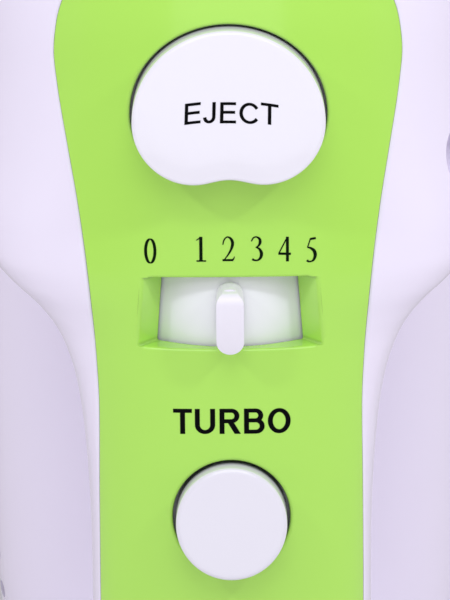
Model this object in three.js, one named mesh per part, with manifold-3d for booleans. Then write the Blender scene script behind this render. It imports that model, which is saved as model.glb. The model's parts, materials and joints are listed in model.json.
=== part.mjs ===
// Hand mixer: two moulded side housings joined on the centre plane, a glossy inlaid top panel
// with its three controls, a two-pole motor, a worm drive and two ejectable wire beaters.
// Millimetres. +Z runs from the heel that the mixer stands on to its nose, -Y faces the
// controls on top of the handle, +Y is the way the beaters point, +X is the user's right.
import * as THREE from 'three';
import { mergeVertices } from 'three/addons/utils/BufferGeometryUtils.js';
import Module from 'manifold-3d';

const wasm = await Module();
wasm.setup();

// ---------------------------------------------------------------- driving dimensions
const GAP = 0.3; // between pieces that touch
const WALL = 2.6; // moulded housing wall
const HEEL_Z = 1.2; // rear face of the housings; the heel pad stands 1.2 proud of it
const NOSE_Z = 200.5; // front tip
const NOSE_Y = 8; // height of the tip
const UNDERSIDE_Y = 67; // flat under the motor, where the beaters come out
const GRIP_UNDER_Y = -41; // underside of the handle
const GAP_START_Z = 36; // finger gap, from the rear post ...
const GAP_END_Z = 133; // ... to the front post

const PANEL_T = 2.2;
const PANEL_REAR_Z = 34;
const PANEL_FRONT_Z = 190;

const MOTOR_Y = 30; // axis of the motor and of the worm, along Z
const SPINDLE_X = 20.5; // beater spindles, each side of the centre plane
const SPINDLE_Z = 157;
const WORM_R = 4.7;
const WHEEL_R = 15.4;
const WHEEL_TEETH = 30;

const EJECT_Z = 155; // middle of the eject button
const EJECT_TRAVEL = 7; // of the button, its fork and the beaters
const GEAR_TOP_Y = 14; // top of the gear cover's bosses
const DRUM_R = 18.5; // speed selector drum
const DRUM_Y = -48.4;
const WINDOW_Z = [118.85, 129.4];
const TURBO_Z = 92.95;
const TURBO_R = 8.15;
const TURBO_TRAVEL = 2.5;
const SWITCH_TOP_Y = -54; // under the turbo button
const PLUNGER_Y = -55; // end of the button's plunger

const BEATER_R = 23.5;
const BEATER_END_Y = 226;

// where the housings are screwed together: [y, z]
const SCREWS = [[-46, 147.3], [-22, 182], [-30, 20], [55, 17], [57, 126.5], [-54.5, 62]];

// ---------------------------------------------------------------- curves of the outer form
/** A smooth curve through points, with no overshoot: returns y for any x. */
function through(points) {
  const xs = points.map((p) => p[0]);
  const ys = points.map((p) => p[1]);
  const last = xs.length - 1;
  const rise = xs.slice(1).map((x, i) => (ys[i + 1] - ys[i]) / (x - xs[i]));
  const slope = xs.map((_, i) => {
    if (i === 0) return rise[0];
    if (i === last) return rise[last - 1];
    const [a, b] = [rise[i - 1], rise[i]];
    return a * b <= 0 ? 0 : (2 * a * b) / (a + b);
  });
  return (x) => {
    if (x <= xs[0]) return ys[0];
    if (x >= xs[last]) return ys[last];
    const i = xs.findIndex((edge) => edge > x) - 1;
    const h = xs[i + 1] - xs[i];
    const t = (x - xs[i]) / h;
    return (1 + 2 * t) * (1 - t) ** 2 * ys[i] + t * (1 - t) ** 2 * h * slope[i]
      + t * t * (3 - 2 * t) * ys[i + 1] + t * t * (t - 1) * h * slope[i + 1];
  };
}

const crown = through([[0, -62], [30, -65.5], [60, -67.6], [100, -68.6], [NOSE_Z, -68.6]]);
const gripHalf = through([[0, 18], [25, 20.2], [60, 21], [86, 21], [96, 21.3], [105, 22],
  [112, 23.2], [118, 25.6], [122, 29], [126, 34], [130, 37.4], [138, 39.6], [158, 40.2], [NOSE_Z, 40.2]]);
const shoulder = through([[0, 14], [100, 14], [112, 16], [127, 26], [145, 42], [160, 50], [NOSE_Z, 50]]);
const fullness = through([[0, 3], [110, 3], [150, 2.4], [NOSE_Z, 2.4]]);
const bodyHalf = through([[0, 31], [25, 36], [60, 40.5], [110, 43], [150, 43.5], [NOSE_Z, 43.5]]);
const bodyTop = through([[0, -4], [110, -4], [150, -20], [NOSE_Z, -30]]);
const panelHalf = through([[PANEL_REAR_Z, 0.6], [34.7, 6], [36.5, 11], [40, 15.5], [46, 18.4], [54, 19.4],
  [78, 19.6], [94, 19.5], [109, 19.3], [117, 19.6], [125, 20.2], [132, 20.9], [140, 22],
  [147, 23.2], [157, 24.8], [161.3, 25.2], [166, 24.7], [170, 23.4], [176, 20.4], [182, 15.6],
  [186.5, 10], [189, 5], [PANEL_FRONT_Z, 0.6]]);

const PANEL_STATIONS = [PANEL_REAR_Z, 34.7, 36.5, 40, 46, 58, 84, 100, 114, 124, 134, 143, 151, 157,
  161.5, 166, 171, 176, 181, 185, 188, PANEL_FRONT_Z];

/** How much a rounded rear edge of radius r takes off at height z. */
function heelRound(z, r) {
  return z >= r ? 0 : r - Math.sqrt(Math.max(r * r - (r - z) ** 2, 0));
}

/** Factor that draws a section in towards the nose tip. */
function noseRound(z, power, start = 150) {
  const s = THREE.MathUtils.clamp((z - start) / (NOSE_Z - start), 0, 1);
  return Math.sqrt(1 - s ** power);
}

const topY = (z) => NOSE_Y - (NOSE_Y - crown(z) - heelRound(z, 14)) * noseRound(z, 4);
const halfX = (z) => (gripHalf(z) - heelRound(z, 6)) * noseRound(z, 3);

/** Height of the top surface at x, z. */
function surfaceY(x, z) {
  const u = Math.min(Math.abs(x) / halfX(z), 1);
  return topY(z) + shoulder(z) * noseRound(z, 4) * (1 - (1 - u ** fullness(z)) ** (1 / fullness(z)));
}

// ---------------------------------------------------------------- solids
/** Reads a closed geometry as a solid. */
function solid(geometry) {
  const bare = new THREE.BufferGeometry();
  bare.setAttribute('position', geometry.getAttribute('position').clone());
  if (geometry.index) bare.setIndex(geometry.index.clone());
  const merged = mergeVertices(bare, 1e-4);
  const kept = [];
  const index = merged.index.array;
  for (let i = 0; i < index.length; i += 3) {
    const [a, b, c] = [index[i], index[i + 1], index[i + 2]];
    if (a !== b && b !== c && a !== c) kept.push(a, b, c);
  }
  return new wasm.Manifold(new wasm.Mesh({
    numProp: 3,
    vertProperties: new Float32Array(merged.getAttribute('position').array),
    triVerts: new Uint32Array(kept),
  }));
}

const join = (...solids) => solids.reduce((all, next) => all.add(next));
const cut = (body, ...tools) => tools.reduce((rest, tool) => rest.subtract(tool), body);

/** Turns a geometry made along +Y so that it lies along the named axis. */
function along(geometry, axis) {
  if (axis === 'z') geometry.rotateX(Math.PI / 2);
  if (axis === 'x') geometry.rotateZ(-Math.PI / 2);
  return geometry;
}

function box(size, at) {
  return solid(new THREE.BoxGeometry(...size).translate(...at));
}

/** A box given by its lowest and highest corners. */
function block(low, high) {
  const size = high.map((value, i) => value - low[i]);
  return box(size, low.map((value, i) => value + size[i] / 2));
}

/** A round bar from one end to the other along an axis, through the point at. */
function rod(radius, axis, from, to, at = [0, 0, 0], sides = 24, endRadius = radius) {
  const bar = new THREE.CylinderGeometry(endRadius, radius, to - from, sides);
  bar.translate(0, (from + to) / 2, 0);
  return solid(along(bar, axis).translate(...at));
}

/** A turned piece: profile of [radius, distance along the axis], closed or on the axis. */
function turned(profile, axis, at = [0, 0, 0], sides = 24) {
  const points = profile.map(([r, h]) => new THREE.Vector2(r, h));
  return solid(along(new THREE.LatheGeometry(points, sides), axis).translate(...at));
}

/** A turned ring between two radii. */
function ring(inner, outer, axis, from, to, at = [0, 0, 0], sides = 24) {
  return turned([[inner, from], [outer, from], [outer, to], [inner, to], [inner, from]], axis, at, sides);
}

/** An outline in X and Z, extruded along Y from one height to another. */
function plateXZ(shape, fromY, toY, curveSegments = 12, bevel = 0) {
  const geometry = new THREE.ExtrudeGeometry(shape, {
    depth: toY - fromY - 2 * bevel,
    curveSegments,
    bevelEnabled: bevel > 0,
    bevelThickness: bevel,
    bevelSize: bevel,
    bevelOffset: -bevel,
    bevelSegments: 1,
  });
  geometry.rotateX(Math.PI / 2);
  return solid(geometry.translate(0, toY - bevel, 0));
}

/** An outline in X and Y, extruded along Z. */
function plateXY(shape, fromZ, toZ, curveSegments = 12) {
  const depth = toZ - fromZ;
  const geometry = new THREE.ExtrudeGeometry(shape, { depth, curveSegments, bevelEnabled: false });
  return solid(geometry.translate(0, 0, fromZ));
}

/** A skin over rings of points, closed by a fan at each end. */
function loft(rings) {
  const count = rings[0].length;
  const points = rings.flat();
  const faces = [];
  for (let r = 0; r + 1 < rings.length; r += 1) {
    for (let i = 0; i < count; i += 1) {
      const j = (i + 1) % count;
      const [a, b, c, d] = [r * count + i, r * count + j, (r + 1) * count + j, (r + 1) * count + i];
      faces.push(a, b, c, a, c, d);
    }
  }
  for (const [r, flip] of [[0, true], [rings.length - 1, false]]) {
    const middle = new THREE.Vector3();
    rings[r].forEach((p) => middle.addScaledVector(p, 1 / count));
    const hub = points.push(middle) - 1;
    for (let i = 0; i < count; i += 1) {
      const [a, b] = [r * count + i, r * count + ((i + 1) % count)];
      faces.push(...(flip ? [hub, b, a] : [hub, a, b]));
    }
  }
  const geometry = new THREE.BufferGeometry().setFromPoints(points);
  geometry.setIndex(faces);
  return solid(geometry);
}

/** Even values from one number to another. */
function span(from, to, steps) {
  return Array.from({ length: steps + 1 }, (_, i) => from + ((to - from) * i) / steps);
}

const vec = (x, y, z) => new THREE.Vector3(x, y, z);

/** A rounded rectangle, as a shape. */
function roundedRect(x0, y0, x1, y1, r) {
  const shape = new THREE.Shape();
  shape.moveTo(x0 + r, y0);
  shape.lineTo(x1 - r, y0);
  shape.absarc(x1 - r, y0 + r, r, -Math.PI / 2, 0);
  shape.absarc(x1 - r, y1 - r, r, 0, Math.PI / 2);
  shape.absarc(x0 + r, y1 - r, r, Math.PI / 2, Math.PI);
  shape.absarc(x0 + r, y0 + r, r, Math.PI, 1.5 * Math.PI);
  return shape;
}

// ---------------------------------------------------------------- the model and its finishes
const mixer = new THREE.Group();

const FINISH = {
  white: { color: 0xeae7f8, roughness: 0.28, metalness: 0 },
  green: { color: 0xaee276, roughness: 0.12, metalness: 0 },
  rubber: { color: 0x5b5b60, roughness: 0.8, metalness: 0 },
  grey: { color: 0xc9cbd0, roughness: 0.4, metalness: 0 },
  dark: { color: 0x2c2d31, roughness: 0.5, metalness: 0 },
  nylon: { color: 0xefece0, roughness: 0.45, metalness: 0 },
  steel: { color: 0xc9ccd0, roughness: 0.25, metalness: 1 },
  chrome: { color: 0xe3e5e8, roughness: 0.08, metalness: 1 },
  iron: { color: 0x6f7276, roughness: 0.45, metalness: 0.9 },
  copper: { color: 0xb56a3a, roughness: 0.35, metalness: 0.9 },
  brass: { color: 0xc9a45a, roughness: 0.3, metalness: 1 },
  carbon: { color: 0x26272a, roughness: 0.7, metalness: 0.1 },
};

/** Puts a solid into the model as a named mesh. */
function piece(name, body, finish) {
  const mesh = body.getMesh();
  const geometry = new THREE.BufferGeometry();
  geometry.setAttribute('position', new THREE.BufferAttribute(new Float32Array(mesh.vertProperties), 3));
  geometry.setIndex(new THREE.BufferAttribute(new Uint32Array(mesh.triVerts), 1));
  geometry.computeVertexNormals();
  const part = new THREE.Mesh(geometry, new THREE.MeshStandardMaterial(FINISH[finish]));
  part.name = name;
  mixer.add(part);
}

// ---------------------------------------------------------------- outer form
const RING_Z = [HEEL_Z, 4, 8, 14, 34, 66, 96, 108, 116, 121, 125, 130, 140, 154, 166, 175, 182.5,
  189, 194.5, 198.5, 200.3];
const INNER_Z = [6, 12, 40, 96, 114, 122, 130, 148, 166, 178, 187, 193.5, 195.5];

/** Section of the upper body: a full arch over the controls, with straight sides. */
function archRing(z, wall, roof, steps) {
  const near = z + (wall > 0 ? 3.2 * THREE.MathUtils.smoothstep(z, 150, 195) : 0);
  const close = noseRound(near, 4);
  const half = halfX(near) - wall * Math.min(1, close * 2);
  const top = topY(near) + roof * close;
  const rise = shoulder(near) * close;
  const full = fullness(near);
  const floor = NOSE_Y + 14 * close;
  const arch = span(0, Math.PI, steps).map((t) => {
    const x = -half * Math.sign(Math.cos(t)) * Math.abs(Math.cos(t)) ** (2 / full);
    return vec(x, top + rise * (1 - Math.abs(Math.sin(t)) ** (2 / full)), z);
  });
  return [vec(-half, floor, z), ...arch, vec(half, floor, z)];
}

/** Section of the motor body: a closed oval, flatter underneath. */
function bodyRing(z, wall, steps) {
  const near = z + (wall > 0 ? 3.2 * THREE.MathUtils.smoothstep(z, 150, 195) : 0);
  const close = noseRound(near, 4, 158);
  const half = (bodyHalf(near) - heelRound(near, 10)) * noseRound(near, 3) - wall;
  const under = NOSE_Y + (UNDERSIDE_Y - heelRound(near, 14) - NOSE_Y) * close - wall;
  const top = NOSE_Y + (bodyTop(near) - NOSE_Y) * close + wall;
  const middle = (under + top) / 2;
  return span(0, 2 * Math.PI, steps).slice(0, steps).map((t) => {
    const full = Math.sin(t) > 0 ? 3.4 : 2.5;
    const x = Math.max(half, 0.8) * Math.sign(Math.cos(t)) * Math.abs(Math.cos(t)) ** (2 / full);
    const y = (Math.max(under - top, 1) / 2) * Math.sign(Math.sin(t)) * Math.abs(Math.sin(t)) ** (2 / full);
    return vec(x, middle + y, z);
  });
}

/** The finger gap, as a solid: a rounded slot right through, flared so that the grip is round. */
function fingerGap(wall) {
  const round = 9;
  const corner = 15;
  const slot = roundedRect(GAP_START_Z, GRIP_UNDER_Y, GAP_END_Z, -1, corner);
  const outline = slot.getPoints(4).slice(0, -1).reverse();
  const middle = new THREE.Vector2((GAP_START_Z + GAP_END_Z) / 2, (GRIP_UNDER_Y - 1) / 2);
  const inside = (GAP_END_Z - GAP_START_Z) / 2 - corner;
  const ringAt = (side, turn) => outline.map((p) => {
    const core = new THREE.Vector2(
      THREE.MathUtils.clamp(p.x, middle.x - inside, middle.x + inside),
      THREE.MathUtils.clamp(p.y, GRIP_UNDER_Y + corner, -1 - corner),
    );
    const out = p.clone().sub(core).normalize();
    const grow = wall + round * (1 - Math.cos(turn));
    const at = p.clone().addScaledVector(out, grow);
    const edge = halfX(at.x) - wall - round * (1 - Math.sin(turn));
    const beyond = turn > 1.6 ? 12 : 0;
    return vec(side * (edge + beyond), at.y, at.x);
  });
  const turns = [0, 0.55, 1.1, 1.57];
  const right = turns.map((t) => ringAt(1, t));
  const left = turns.map((t) => ringAt(-1, t)).reverse();
  const far = (side) => ringAt(side, 1.57).map((p) => vec(side * 60, p.y, p.z));
  return loft([far(-1), ...left, ...right, far(1)]);
}

/** The strip of top surface under |x| < half, from above it down to a depth below it. */
function strip(extra, depth, above) {
  return loft(PANEL_STATIONS.map((z) => {
    const half = panelHalf(z) + extra;
    const at = z + extra * THREE.MathUtils.clamp((z - 112) / 78, -1, 1);
    const across = span(-1, 1, 6).map((u) => half * Math.sin((u * Math.PI) / 2));
    const over = across.map((x) => vec(x, surfaceY(x, at) - above, at));
    const under = across.map((x) => vec(x, surfaceY(x, at) + depth, at)).reverse();
    return [...over, ...under];
  }));
}

// ---------------------------------------------------------------- housings and panel
const outerArch = loft(RING_Z.map((z) => archRing(z, 0, 0, 14)));
const outerBody = loft(RING_Z.map((z) => bodyRing(z, 0, 16)));
const innerArch = loft(INNER_Z.map((z) => archRing(z, WALL, 4.9, 8)));
const innerBody = loft(INNER_Z.map((z) => bodyRing(z, WALL, 12)));

/** A shape round both spindles, at a distance from their axes. */
function stadium(radius) {
  const [x, z] = [SPINDLE_X, SPINDLE_Z];
  return roundedRect(-x - radius, z - radius, x + radius, z + radius, radius - 0.01);
}

/** The flat-bottomed plinth under the housings that the sockets are let into. */
const plinth = (radius, fromY, toY) => plateXZ(stadium(radius), fromY, toY, 5);

const form = join(cut(outerArch, fingerGap(0)), outerBody, plinth(15.4, 44, 68));
const hollow = join(cut(innerArch, fingerGap(WALL)), innerBody);

/** Outline of the eject button, a kidney: half an ellipse over two lobes with a notch between them. */
function kidney(grow, steps = 8) {
  const [half, lobe, middle, foot] = [13.85, 5, 153.2, 144.3];
  const quarter = (from, x, wide, high) => span(from, from - Math.PI / 2, steps).map((t) => (
    new THREE.Vector2(x + wide * Math.cos(t), middle + high * Math.sin(t))));
  const notch = span(lobe, 0, 3).slice(1).map((x) => (
    new THREE.Vector2(x, foot + 0.35 * (1 + Math.cos((Math.PI * x) / lobe)))));
  const right = [
    ...quarter(Math.PI / 2, 0, half, 12.95),
    ...quarter(0, lobe, half - lobe, middle - foot).slice(1),
    ...notch,
  ];
  const outline = [...right, ...right.slice(1, -1).reverse().map((p) => new THREE.Vector2(-p.x, p.y))];
  const count = outline.length;
  return new THREE.Shape(outline.map((p, i) => {
    const tangent = outline[(i + 1) % count].clone().sub(outline[(i + count - 1) % count]).normalize();
    return new THREE.Vector2(p.x - tangent.y * grow, p.y + tangent.x * grow);
  }));
}

/** A funnel from a wide rim down to the drum; the rim's rear side bows towards the handle. */
function windowFunnel() {
  const [rear, front] = WINDOW_Z;
  const level = (y, rearHalf, frontHalf, bow) => [
    vec(frontHalf, y, front), vec(-frontHalf, y, front),
    ...span(-1, 1, 6).map((t) => vec(rearHalf * t, y, rear + bow * (t * t - 1)))];
  return loft([level(-62, 9.45, 7.6, 0), level(-67.5, 13.75, 12.2, 0.35), level(-72, 14.6, 13.2, 0.35)]);
}

const drumSpace = rod(DRUM_R + 0.5, 'z', 116, 132.2, [0, DRUM_Y, 0], 40);
const windowWell = cut(
  join(cut(block([-15.4, -68, 117.2], [15.4, -61.6, 131]), outerArchTop()), strip(0, PANEL_T, 0)),
  drumSpace,
  windowFunnel(),
);

/** Everything above the outer surface near the panel. */
function outerArchTop() {
  return cut(block([-30, -90, 100], [30, -40, 150]), outerArch);
}

const ejectBore = plateXZ(kidney(0.35), -90, -50);
const turboBore = rod(TURBO_R + 0.5, 'y', -90, -58, [0, 0, TURBO_Z], 28);
piece('top_panel', cut(windowWell, ejectBore, turboBore), 'green');

const inletAt = [0, 0, 19];
/** The heel pad: a narrow tail under the handle post, wider under the motor. */
function padSolid(grow, height) {
  return join(
    plateXY(roundedRect(-10 - grow, -44 - grow, 10 + grow, 40, 8), 0, height, 4),
    plateXY(roundedRect(-19 - grow, 12 - grow, 19 + grow, 50 + grow, 9), 0, height, 5),
  );
}
const padSeat = padSolid(0.4, 3.3);
const socketSeat = plateXZ(stadium(13.1), 65.4, 70, 6);

/** Cooling slots through both sides, over the brushes, and under the fan. */
function vents() {
  const sides = span(31, 59, 4).map((z) => block([-60, 18, z - 1.4], [60, 42, z + 1.4]));
  const under = span(-20, 20, 4).map((x) => block([x - 1.6, 55, 96], [x + 1.6, 75, 116]));
  return join(...sides, ...under);
}

const housing = cut(
  cut(form, hollow),
  strip(0.3, PANEL_T + 0.3, 3),
  plateXZ(kidney(1.6, 5), -90, -50),
  block([-15.8, -80, 115.9], [15.8, -58, 132.3]),
  rod(TURBO_R + 2.35, 'y', -90, -58, [0, 0, TURBO_Z], 28),
  rod(5.3, 'y', -80, -50, inletAt),
  padSeat,
  socketSeat,
  plateXZ(stadium(9), 58, 70, 4),
  vents(),
);

/** The screw post that each housing holds, cut to the inside of the form. */
const postSolid = SCREWS.map(([y, z]) => rod(4.2, 'x', -45, 45, [0, y, z], 8).intersect(form));
const wellCut = SCREWS.map(([y, z]) => rod(3.3, 'x', 9, 60, [0, y, z], 10));
const boreCut = SCREWS.map(([y, z]) => rod(1.6, 'x', 0, 10, [0, y, z], 6));
const pilotCut = SCREWS.map(([y, z]) => rod(1.6, 'x', -11, 0, [0, y, z], 6));

/** Ribs in the middle of the housings that hold the motor's bridges and the gear frame. */
function cradles(side) {
  const [fromX, toX] = side < 0 ? [-42, -29] : [29, 42];
  const rib = (z, fromY, toY) => block([fromX, fromY, z - 1], [toX, toY, z + 1]);
  return join(rib(64, 18, 42), rib(84, 18, 42), rib(122, 22, 44)).intersect(form);
}

const leftHalf = block([-80, -100, -10], [-GAP / 2, 120, 220]);
const rightHalf = block([GAP / 2, -100, -10], [80, 120, 220]);
const leftShell = cut(join(housing, ...postSolid, cradles(-1)).intersect(leftHalf), ...pilotCut);
const rightBlank = join(housing, ...postSolid, cradles(1)).intersect(rightHalf);
const rightShell = cut(rightBlank, ...wellCut, ...boreCut);
piece('left_shell', leftShell, 'white');
piece('right_shell', rightShell, 'white');
piece('heel_pad', padSolid(0, 3), 'rubber');

// ---------------------------------------------------------------- screws and cord inlet
SCREWS.forEach(([y, z], i) => {
  const screw = join(
    rod(2.8, 'x', 9.3, 11.5, [0, y, z], 10),
    rod(1.3, 'x', -10, 9.4, [0, y, z], 6),
  );
  const slot = join(box([1.6, 3.2, 0.7], [11.2, y, z]), box([1.6, 0.7, 3.2], [11.2, y, z]));
  piece(`shell_screw_${i + 1}`, cut(screw, slot), 'steel');
});

const gland = turned([[2.6, -67.4], [6.4, -67.4], [6.9, -66.9], [6.9, -65.6], [4.9, -65.2], [4.9, -57.9],
  [6.2, -57.9], [6.2, -56.4], [2.6, -56.4], [2.6, -67.4]], 'y', inletAt, 14);
piece('cord_inlet', gland, 'dark');

// ---------------------------------------------------------------- motor
const motor = (x, y, z = 0) => [x, MOTOR_Y + y, z];
const polar = (radius, angle) => [radius * Math.cos(angle), radius * Math.sin(angle)];
const SHAFT_R = 3;
const STACK_Z = [58, 90]; // stator and armature laminations
const SLOT_ANGLE = THREE.MathUtils.degToRad(52);

function statorCore() {
  const frame = plateXY(roundedRect(-28, MOTOR_Y - 24, 28, MOTOR_Y + 24, 10), ...STACK_Z, 4);
  const bore = rod(16.3, 'z', 50, 100, motor(0, 0), 24);
  const slots = [1, -1].flatMap((side) => [1, -1].map((up) => {
    const [x, y] = polar(21, SLOT_ANGLE);
    return rod(4, 'z', 50, 100, motor(side * x, up * y), 10);
  }));
  return cut(frame, bore, ...slots);
}
piece('stator_core', statorCore(), 'iron');

/** One field winding: a loop through two slots, wrapped round its pole. */
function fieldCoil(side) {
  const bend = (value) => Math.sign(value) * Math.abs(value) ** 0.32;
  const path = span(0, 2 * Math.PI, 36).slice(0, 36).map((t) => {
    const [x, y] = polar(21, SLOT_ANGLE * bend(Math.cos(t)));
    return vec(side * x, MOTOR_Y + y, (STACK_Z[0] + STACK_Z[1]) / 2 + 20.6 * bend(Math.sin(t)));
  });
  return solid(new THREE.TubeGeometry(new THREE.CatmullRomCurve3(path, true), 32, 2.5, 6, true));
}
for (const [name, side] of [['field_coil_left', -1], ['field_coil_right', 1]]) {
  piece(name, fieldCoil(side), 'copper');
}

/** A bearing bridge: a bar across the motor with two legs that stand on the stator. */
function bearingBridge(outerZ, innerZ, stackZ, hubFrom, hubTo) {
  const legs = [-1, 1].map((side) => block(
    [side > 0 ? 24.2 : -27.6, MOTOR_Y - 6, Math.min(outerZ, stackZ)],
    [side > 0 ? 27.6 : -24.2, MOTOR_Y + 6, Math.max(outerZ, stackZ)],
  ));
  const bar = block(
    [-27.6, MOTOR_Y - 7, Math.min(outerZ, innerZ)],
    [27.6, MOTOR_Y + 7, Math.max(outerZ, innerZ)],
  );
  const hub = rod(8.2, 'z', hubFrom, hubTo, motor(0, 0), 14);
  return cut(join(bar, hub, ...legs), rod(6.1, 'z', 0, 200, motor(0, 0), 14));
}
piece('rear_bridge', bearingBridge(22, 25, STACK_Z[0] - GAP, 19, 28), 'dark');
piece('front_bridge', bearingBridge(103, 99.5, STACK_Z[1] + GAP, 98, 106), 'dark');

const bush = (from, to) => turned([[SHAFT_R + GAP, from], [4.9, from], [5.7, (from + to) / 2], [4.9, to],
  [SHAFT_R + GAP, to], [SHAFT_R + GAP, from]], 'z', motor(0, 0), 14);
piece('rear_bearing', bush(20, 27), 'brass');
piece('front_bearing', bush(99, 105), 'brass');

for (const [word, side] of [['left', -1], ['right', 1]]) {
  const inOut = (from, to) => (side > 0 ? [from, to] : [-to, -from]);
  const sleeve = (from, to, y, z) => {
    const [x0, x1] = inOut(from, to);
    return block([x0, MOTOR_Y - y, 43 - z], [x1, MOTOR_Y + y, 43 + z]);
  };
  piece(`brush_holder_${word}`, cut(sleeve(12, 23.8, 5.2, 4.9), sleeve(11, 25, 3.6, 3.3)), 'brass');
  piece(`brush_${word}`, sleeve(10.3, 21, 3.3, 3), 'carbon');
}

// ---------------------------------------------------------------- rotor
/** A round disc with slots round its rim, as a shape. */
function slotted(outer, inner, count, open) {
  const step = (2 * Math.PI) / count;
  const points = Array.from({ length: count }, (_, i) => [
    [outer, i * step], [outer, (i + open / 2) * step], [outer, (i + open) * step],
    [inner, (i + open) * step], [inner, (i + 1) * step]]).flat();
  return new THREE.Shape(points.map(([r, angle]) => {
    const [x, y] = polar(r, angle);
    return new THREE.Vector2(x, MOTOR_Y + y);
  }));
}
const shaftHole = rod(SHAFT_R + GAP, 'z', 0, 200, motor(0, 0), 12);
piece('armature_core', cut(plateXY(slotted(15.5, 10, 12, 0.68), ...STACK_Z), shaftHole), 'iron');

function armatureWinding() {
  const bars = Array.from({ length: 12 }, (_, i) => {
    const bar = box([3.4, 1.2, STACK_Z[1] - STACK_Z[0] + 2], [12.3, 0, (STACK_Z[0] + STACK_Z[1]) / 2]);
    return bar.rotate([0, 0, (i + 0.84) * 30]).translate([0, MOTOR_Y, 0]);
  });
  const end = (from, to) => turned([[5, from], [12.6, from], [13.9, (from + to) / 2], [12.6, to],
    [5, to], [5, from]], 'z', motor(0, 0), 12);
  return join(...bars, end(51.8, STACK_Z[0] - GAP), end(STACK_Z[1] + GAP, 96.2));
}
piece('armature_winding', armatureWinding(), 'copper');
piece('commutator', cut(plateXY(slotted(9.9, 9.2, 14, 0.86), 36, 50), shaftHole), 'copper');

/** The worm: two starts, made by turning a two-lobed section as it climbs. */
function worm(from, to) {
  const lead = (2 * Math.PI * (SPINDLE_X - WORM_R + 0.4) * 2) / WHEEL_TEETH;
  const around = 8;
  const rings = span(from, to, 30).map((z) => span(0, 2 * Math.PI, around).slice(0, around).map((t) => {
    const lobe = Math.cos(2 * (t - (2 * Math.PI * z) / lead));
    const r = WORM_R - 0.75 + 0.75 * lobe;
    return vec(r * Math.cos(t), MOTOR_Y + r * Math.sin(t), z);
  }));
  return loft(rings);
}
const shaft = turned([[0, 17.5], [2.6, 17.5], [SHAFT_R, 18.2], [SHAFT_R, 180.4], [2.2, 181.4], [0, 181.4]],
  'z', motor(0, 0), 12);
piece('armature_shaft', join(shaft, worm(SPINDLE_Z - 11.5, SPINDLE_Z + 11.5)), 'steel');

function coolingFan() {
  const hub = rod(7, 'z', 109, 119, motor(0, 0), 12);
  const disc = rod(26, 'z', 117.6, 119, motor(0, 0), 24);
  const blades = Array.from({ length: 12 }, (_, i) => box([18.6, 1.2, 8.8], [15.6, 0, 113.4])
    .rotate([0, 0, 12]).translate([0, -2.6, 0]).rotate([0, 0, i * 30]).translate([0, MOTOR_Y, 0]));
  return cut(join(hub, disc, ...blades), shaftHole);
}
piece('cooling_fan', coolingFan(), 'nylon');

// ---------------------------------------------------------------- gear frame and spindles
const atSpindles = (make) => [-1, 1].map((side) => make([side * SPINDLE_X, 0, SPINDLE_Z]));

function gearFrame() {
  const cup = cut(plateXZ(stadium(17.8), 20, 41, 6), plateXZ(stadium(16.1), 10, 38.2, 6));
  const bosses = atSpindles((at) => rod(8.6, 'y', 38, 52, at, 14));
  const noseBoss = rod(6.4, 'z', 173.5, 184, motor(0, 0), 12);
  const web = (x) => block([x - 0.8, 40.5, SPINDLE_Z - 12], [x + 0.8, 48, SPINDLE_Z + 12]);
  const webs = [-14, 0, 14].map(web);
  const bores = atSpindles((at) => rod(6.4, 'y', 30, 60, at, 14));
  return cut(
    join(cup, noseBoss, ...bosses, ...webs),
    ...bores,
    rod(5.1, 'z', 170, 182, motor(0, 0), 12),
    rod(5.5, 'z', 130, 171, motor(0, 0), 12),
  );
}
piece('gear_frame', gearFrame(), 'grey');
piece('nose_bearing', ring(SHAFT_R + GAP, 4.7, 'z', 174.4, 181, motor(0, 0), 12), 'brass');

function gearCover() {
  const bosses = atSpindles((at) => rod(8.4, 'y', GEAR_TOP_Y, 19.7, at, 14));
  const holes = atSpindles((at) => rod(6.4, 'y', 10, 30, at, 14));
  return cut(
    join(plateXZ(stadium(17.8), 17.4, 19.7, 6), ...bosses),
    ...holes,
    rod(2.5, 'y', 10, 30, [0, 0, SPINDLE_Z], 10),
  );
}
piece('gear_cover', gearCover(), 'grey');

/** Outline of a worm wheel: rounded teeth about the spindle axis. */
function wheelShape(at, phase) {
  const count = WHEEL_TEETH * 3;
  const points = Array.from({ length: count }, (_, i) => {
    const angle = (2 * Math.PI * (i + phase)) / count;
    const r = WHEEL_R - (i % 3 < 2 ? 0 : 1.7);
    return new THREE.Vector2(at[0] + r * Math.cos(angle), at[2] + r * Math.sin(angle));
  });
  return new THREE.Shape(points);
}

for (const [word, side] of [['left', -1], ['right', 1]]) {
  const at = [side * SPINDLE_X, 0, SPINDLE_Z];
  const wheel = cut(
    join(plateXZ(wheelShape(at, 0.5), 26, 34, 1), rod(8.6, 'y', 22, 37.6, at, 14)),
    ring(9.8, 12.6, 'y', 20, 28, at, 14),
    rod(6.4, 'y', 10, 60, at, 14),
  );
  piece(`${word}_worm_wheel`, wheel, 'nylon');
  const slots = [0, 90].map((turn) => box([9, 14, 1.5], [0, 64, 0])
    .rotate([0, turn + 45, 0]).translate(at));
  const spindle = cut(ring(3.5, 6, 'y', 12, 67.4, at, 14), ...slots);
  piece(`${word}_spindle`, spindle, 'steel');
}

const socketPlate = cut(
  plateXZ(stadium(12.6), 65.8, 69.2, 6),
  ...atSpindles((at) => rod(7.2, 'y', 60, 75, at, 18)),
  ...atSpindles((at) => ring(9.2, 10.6, 'y', 68.5, 75, at, 18)),
);
piece('socket_plate', socketPlate, 'grey');

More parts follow.
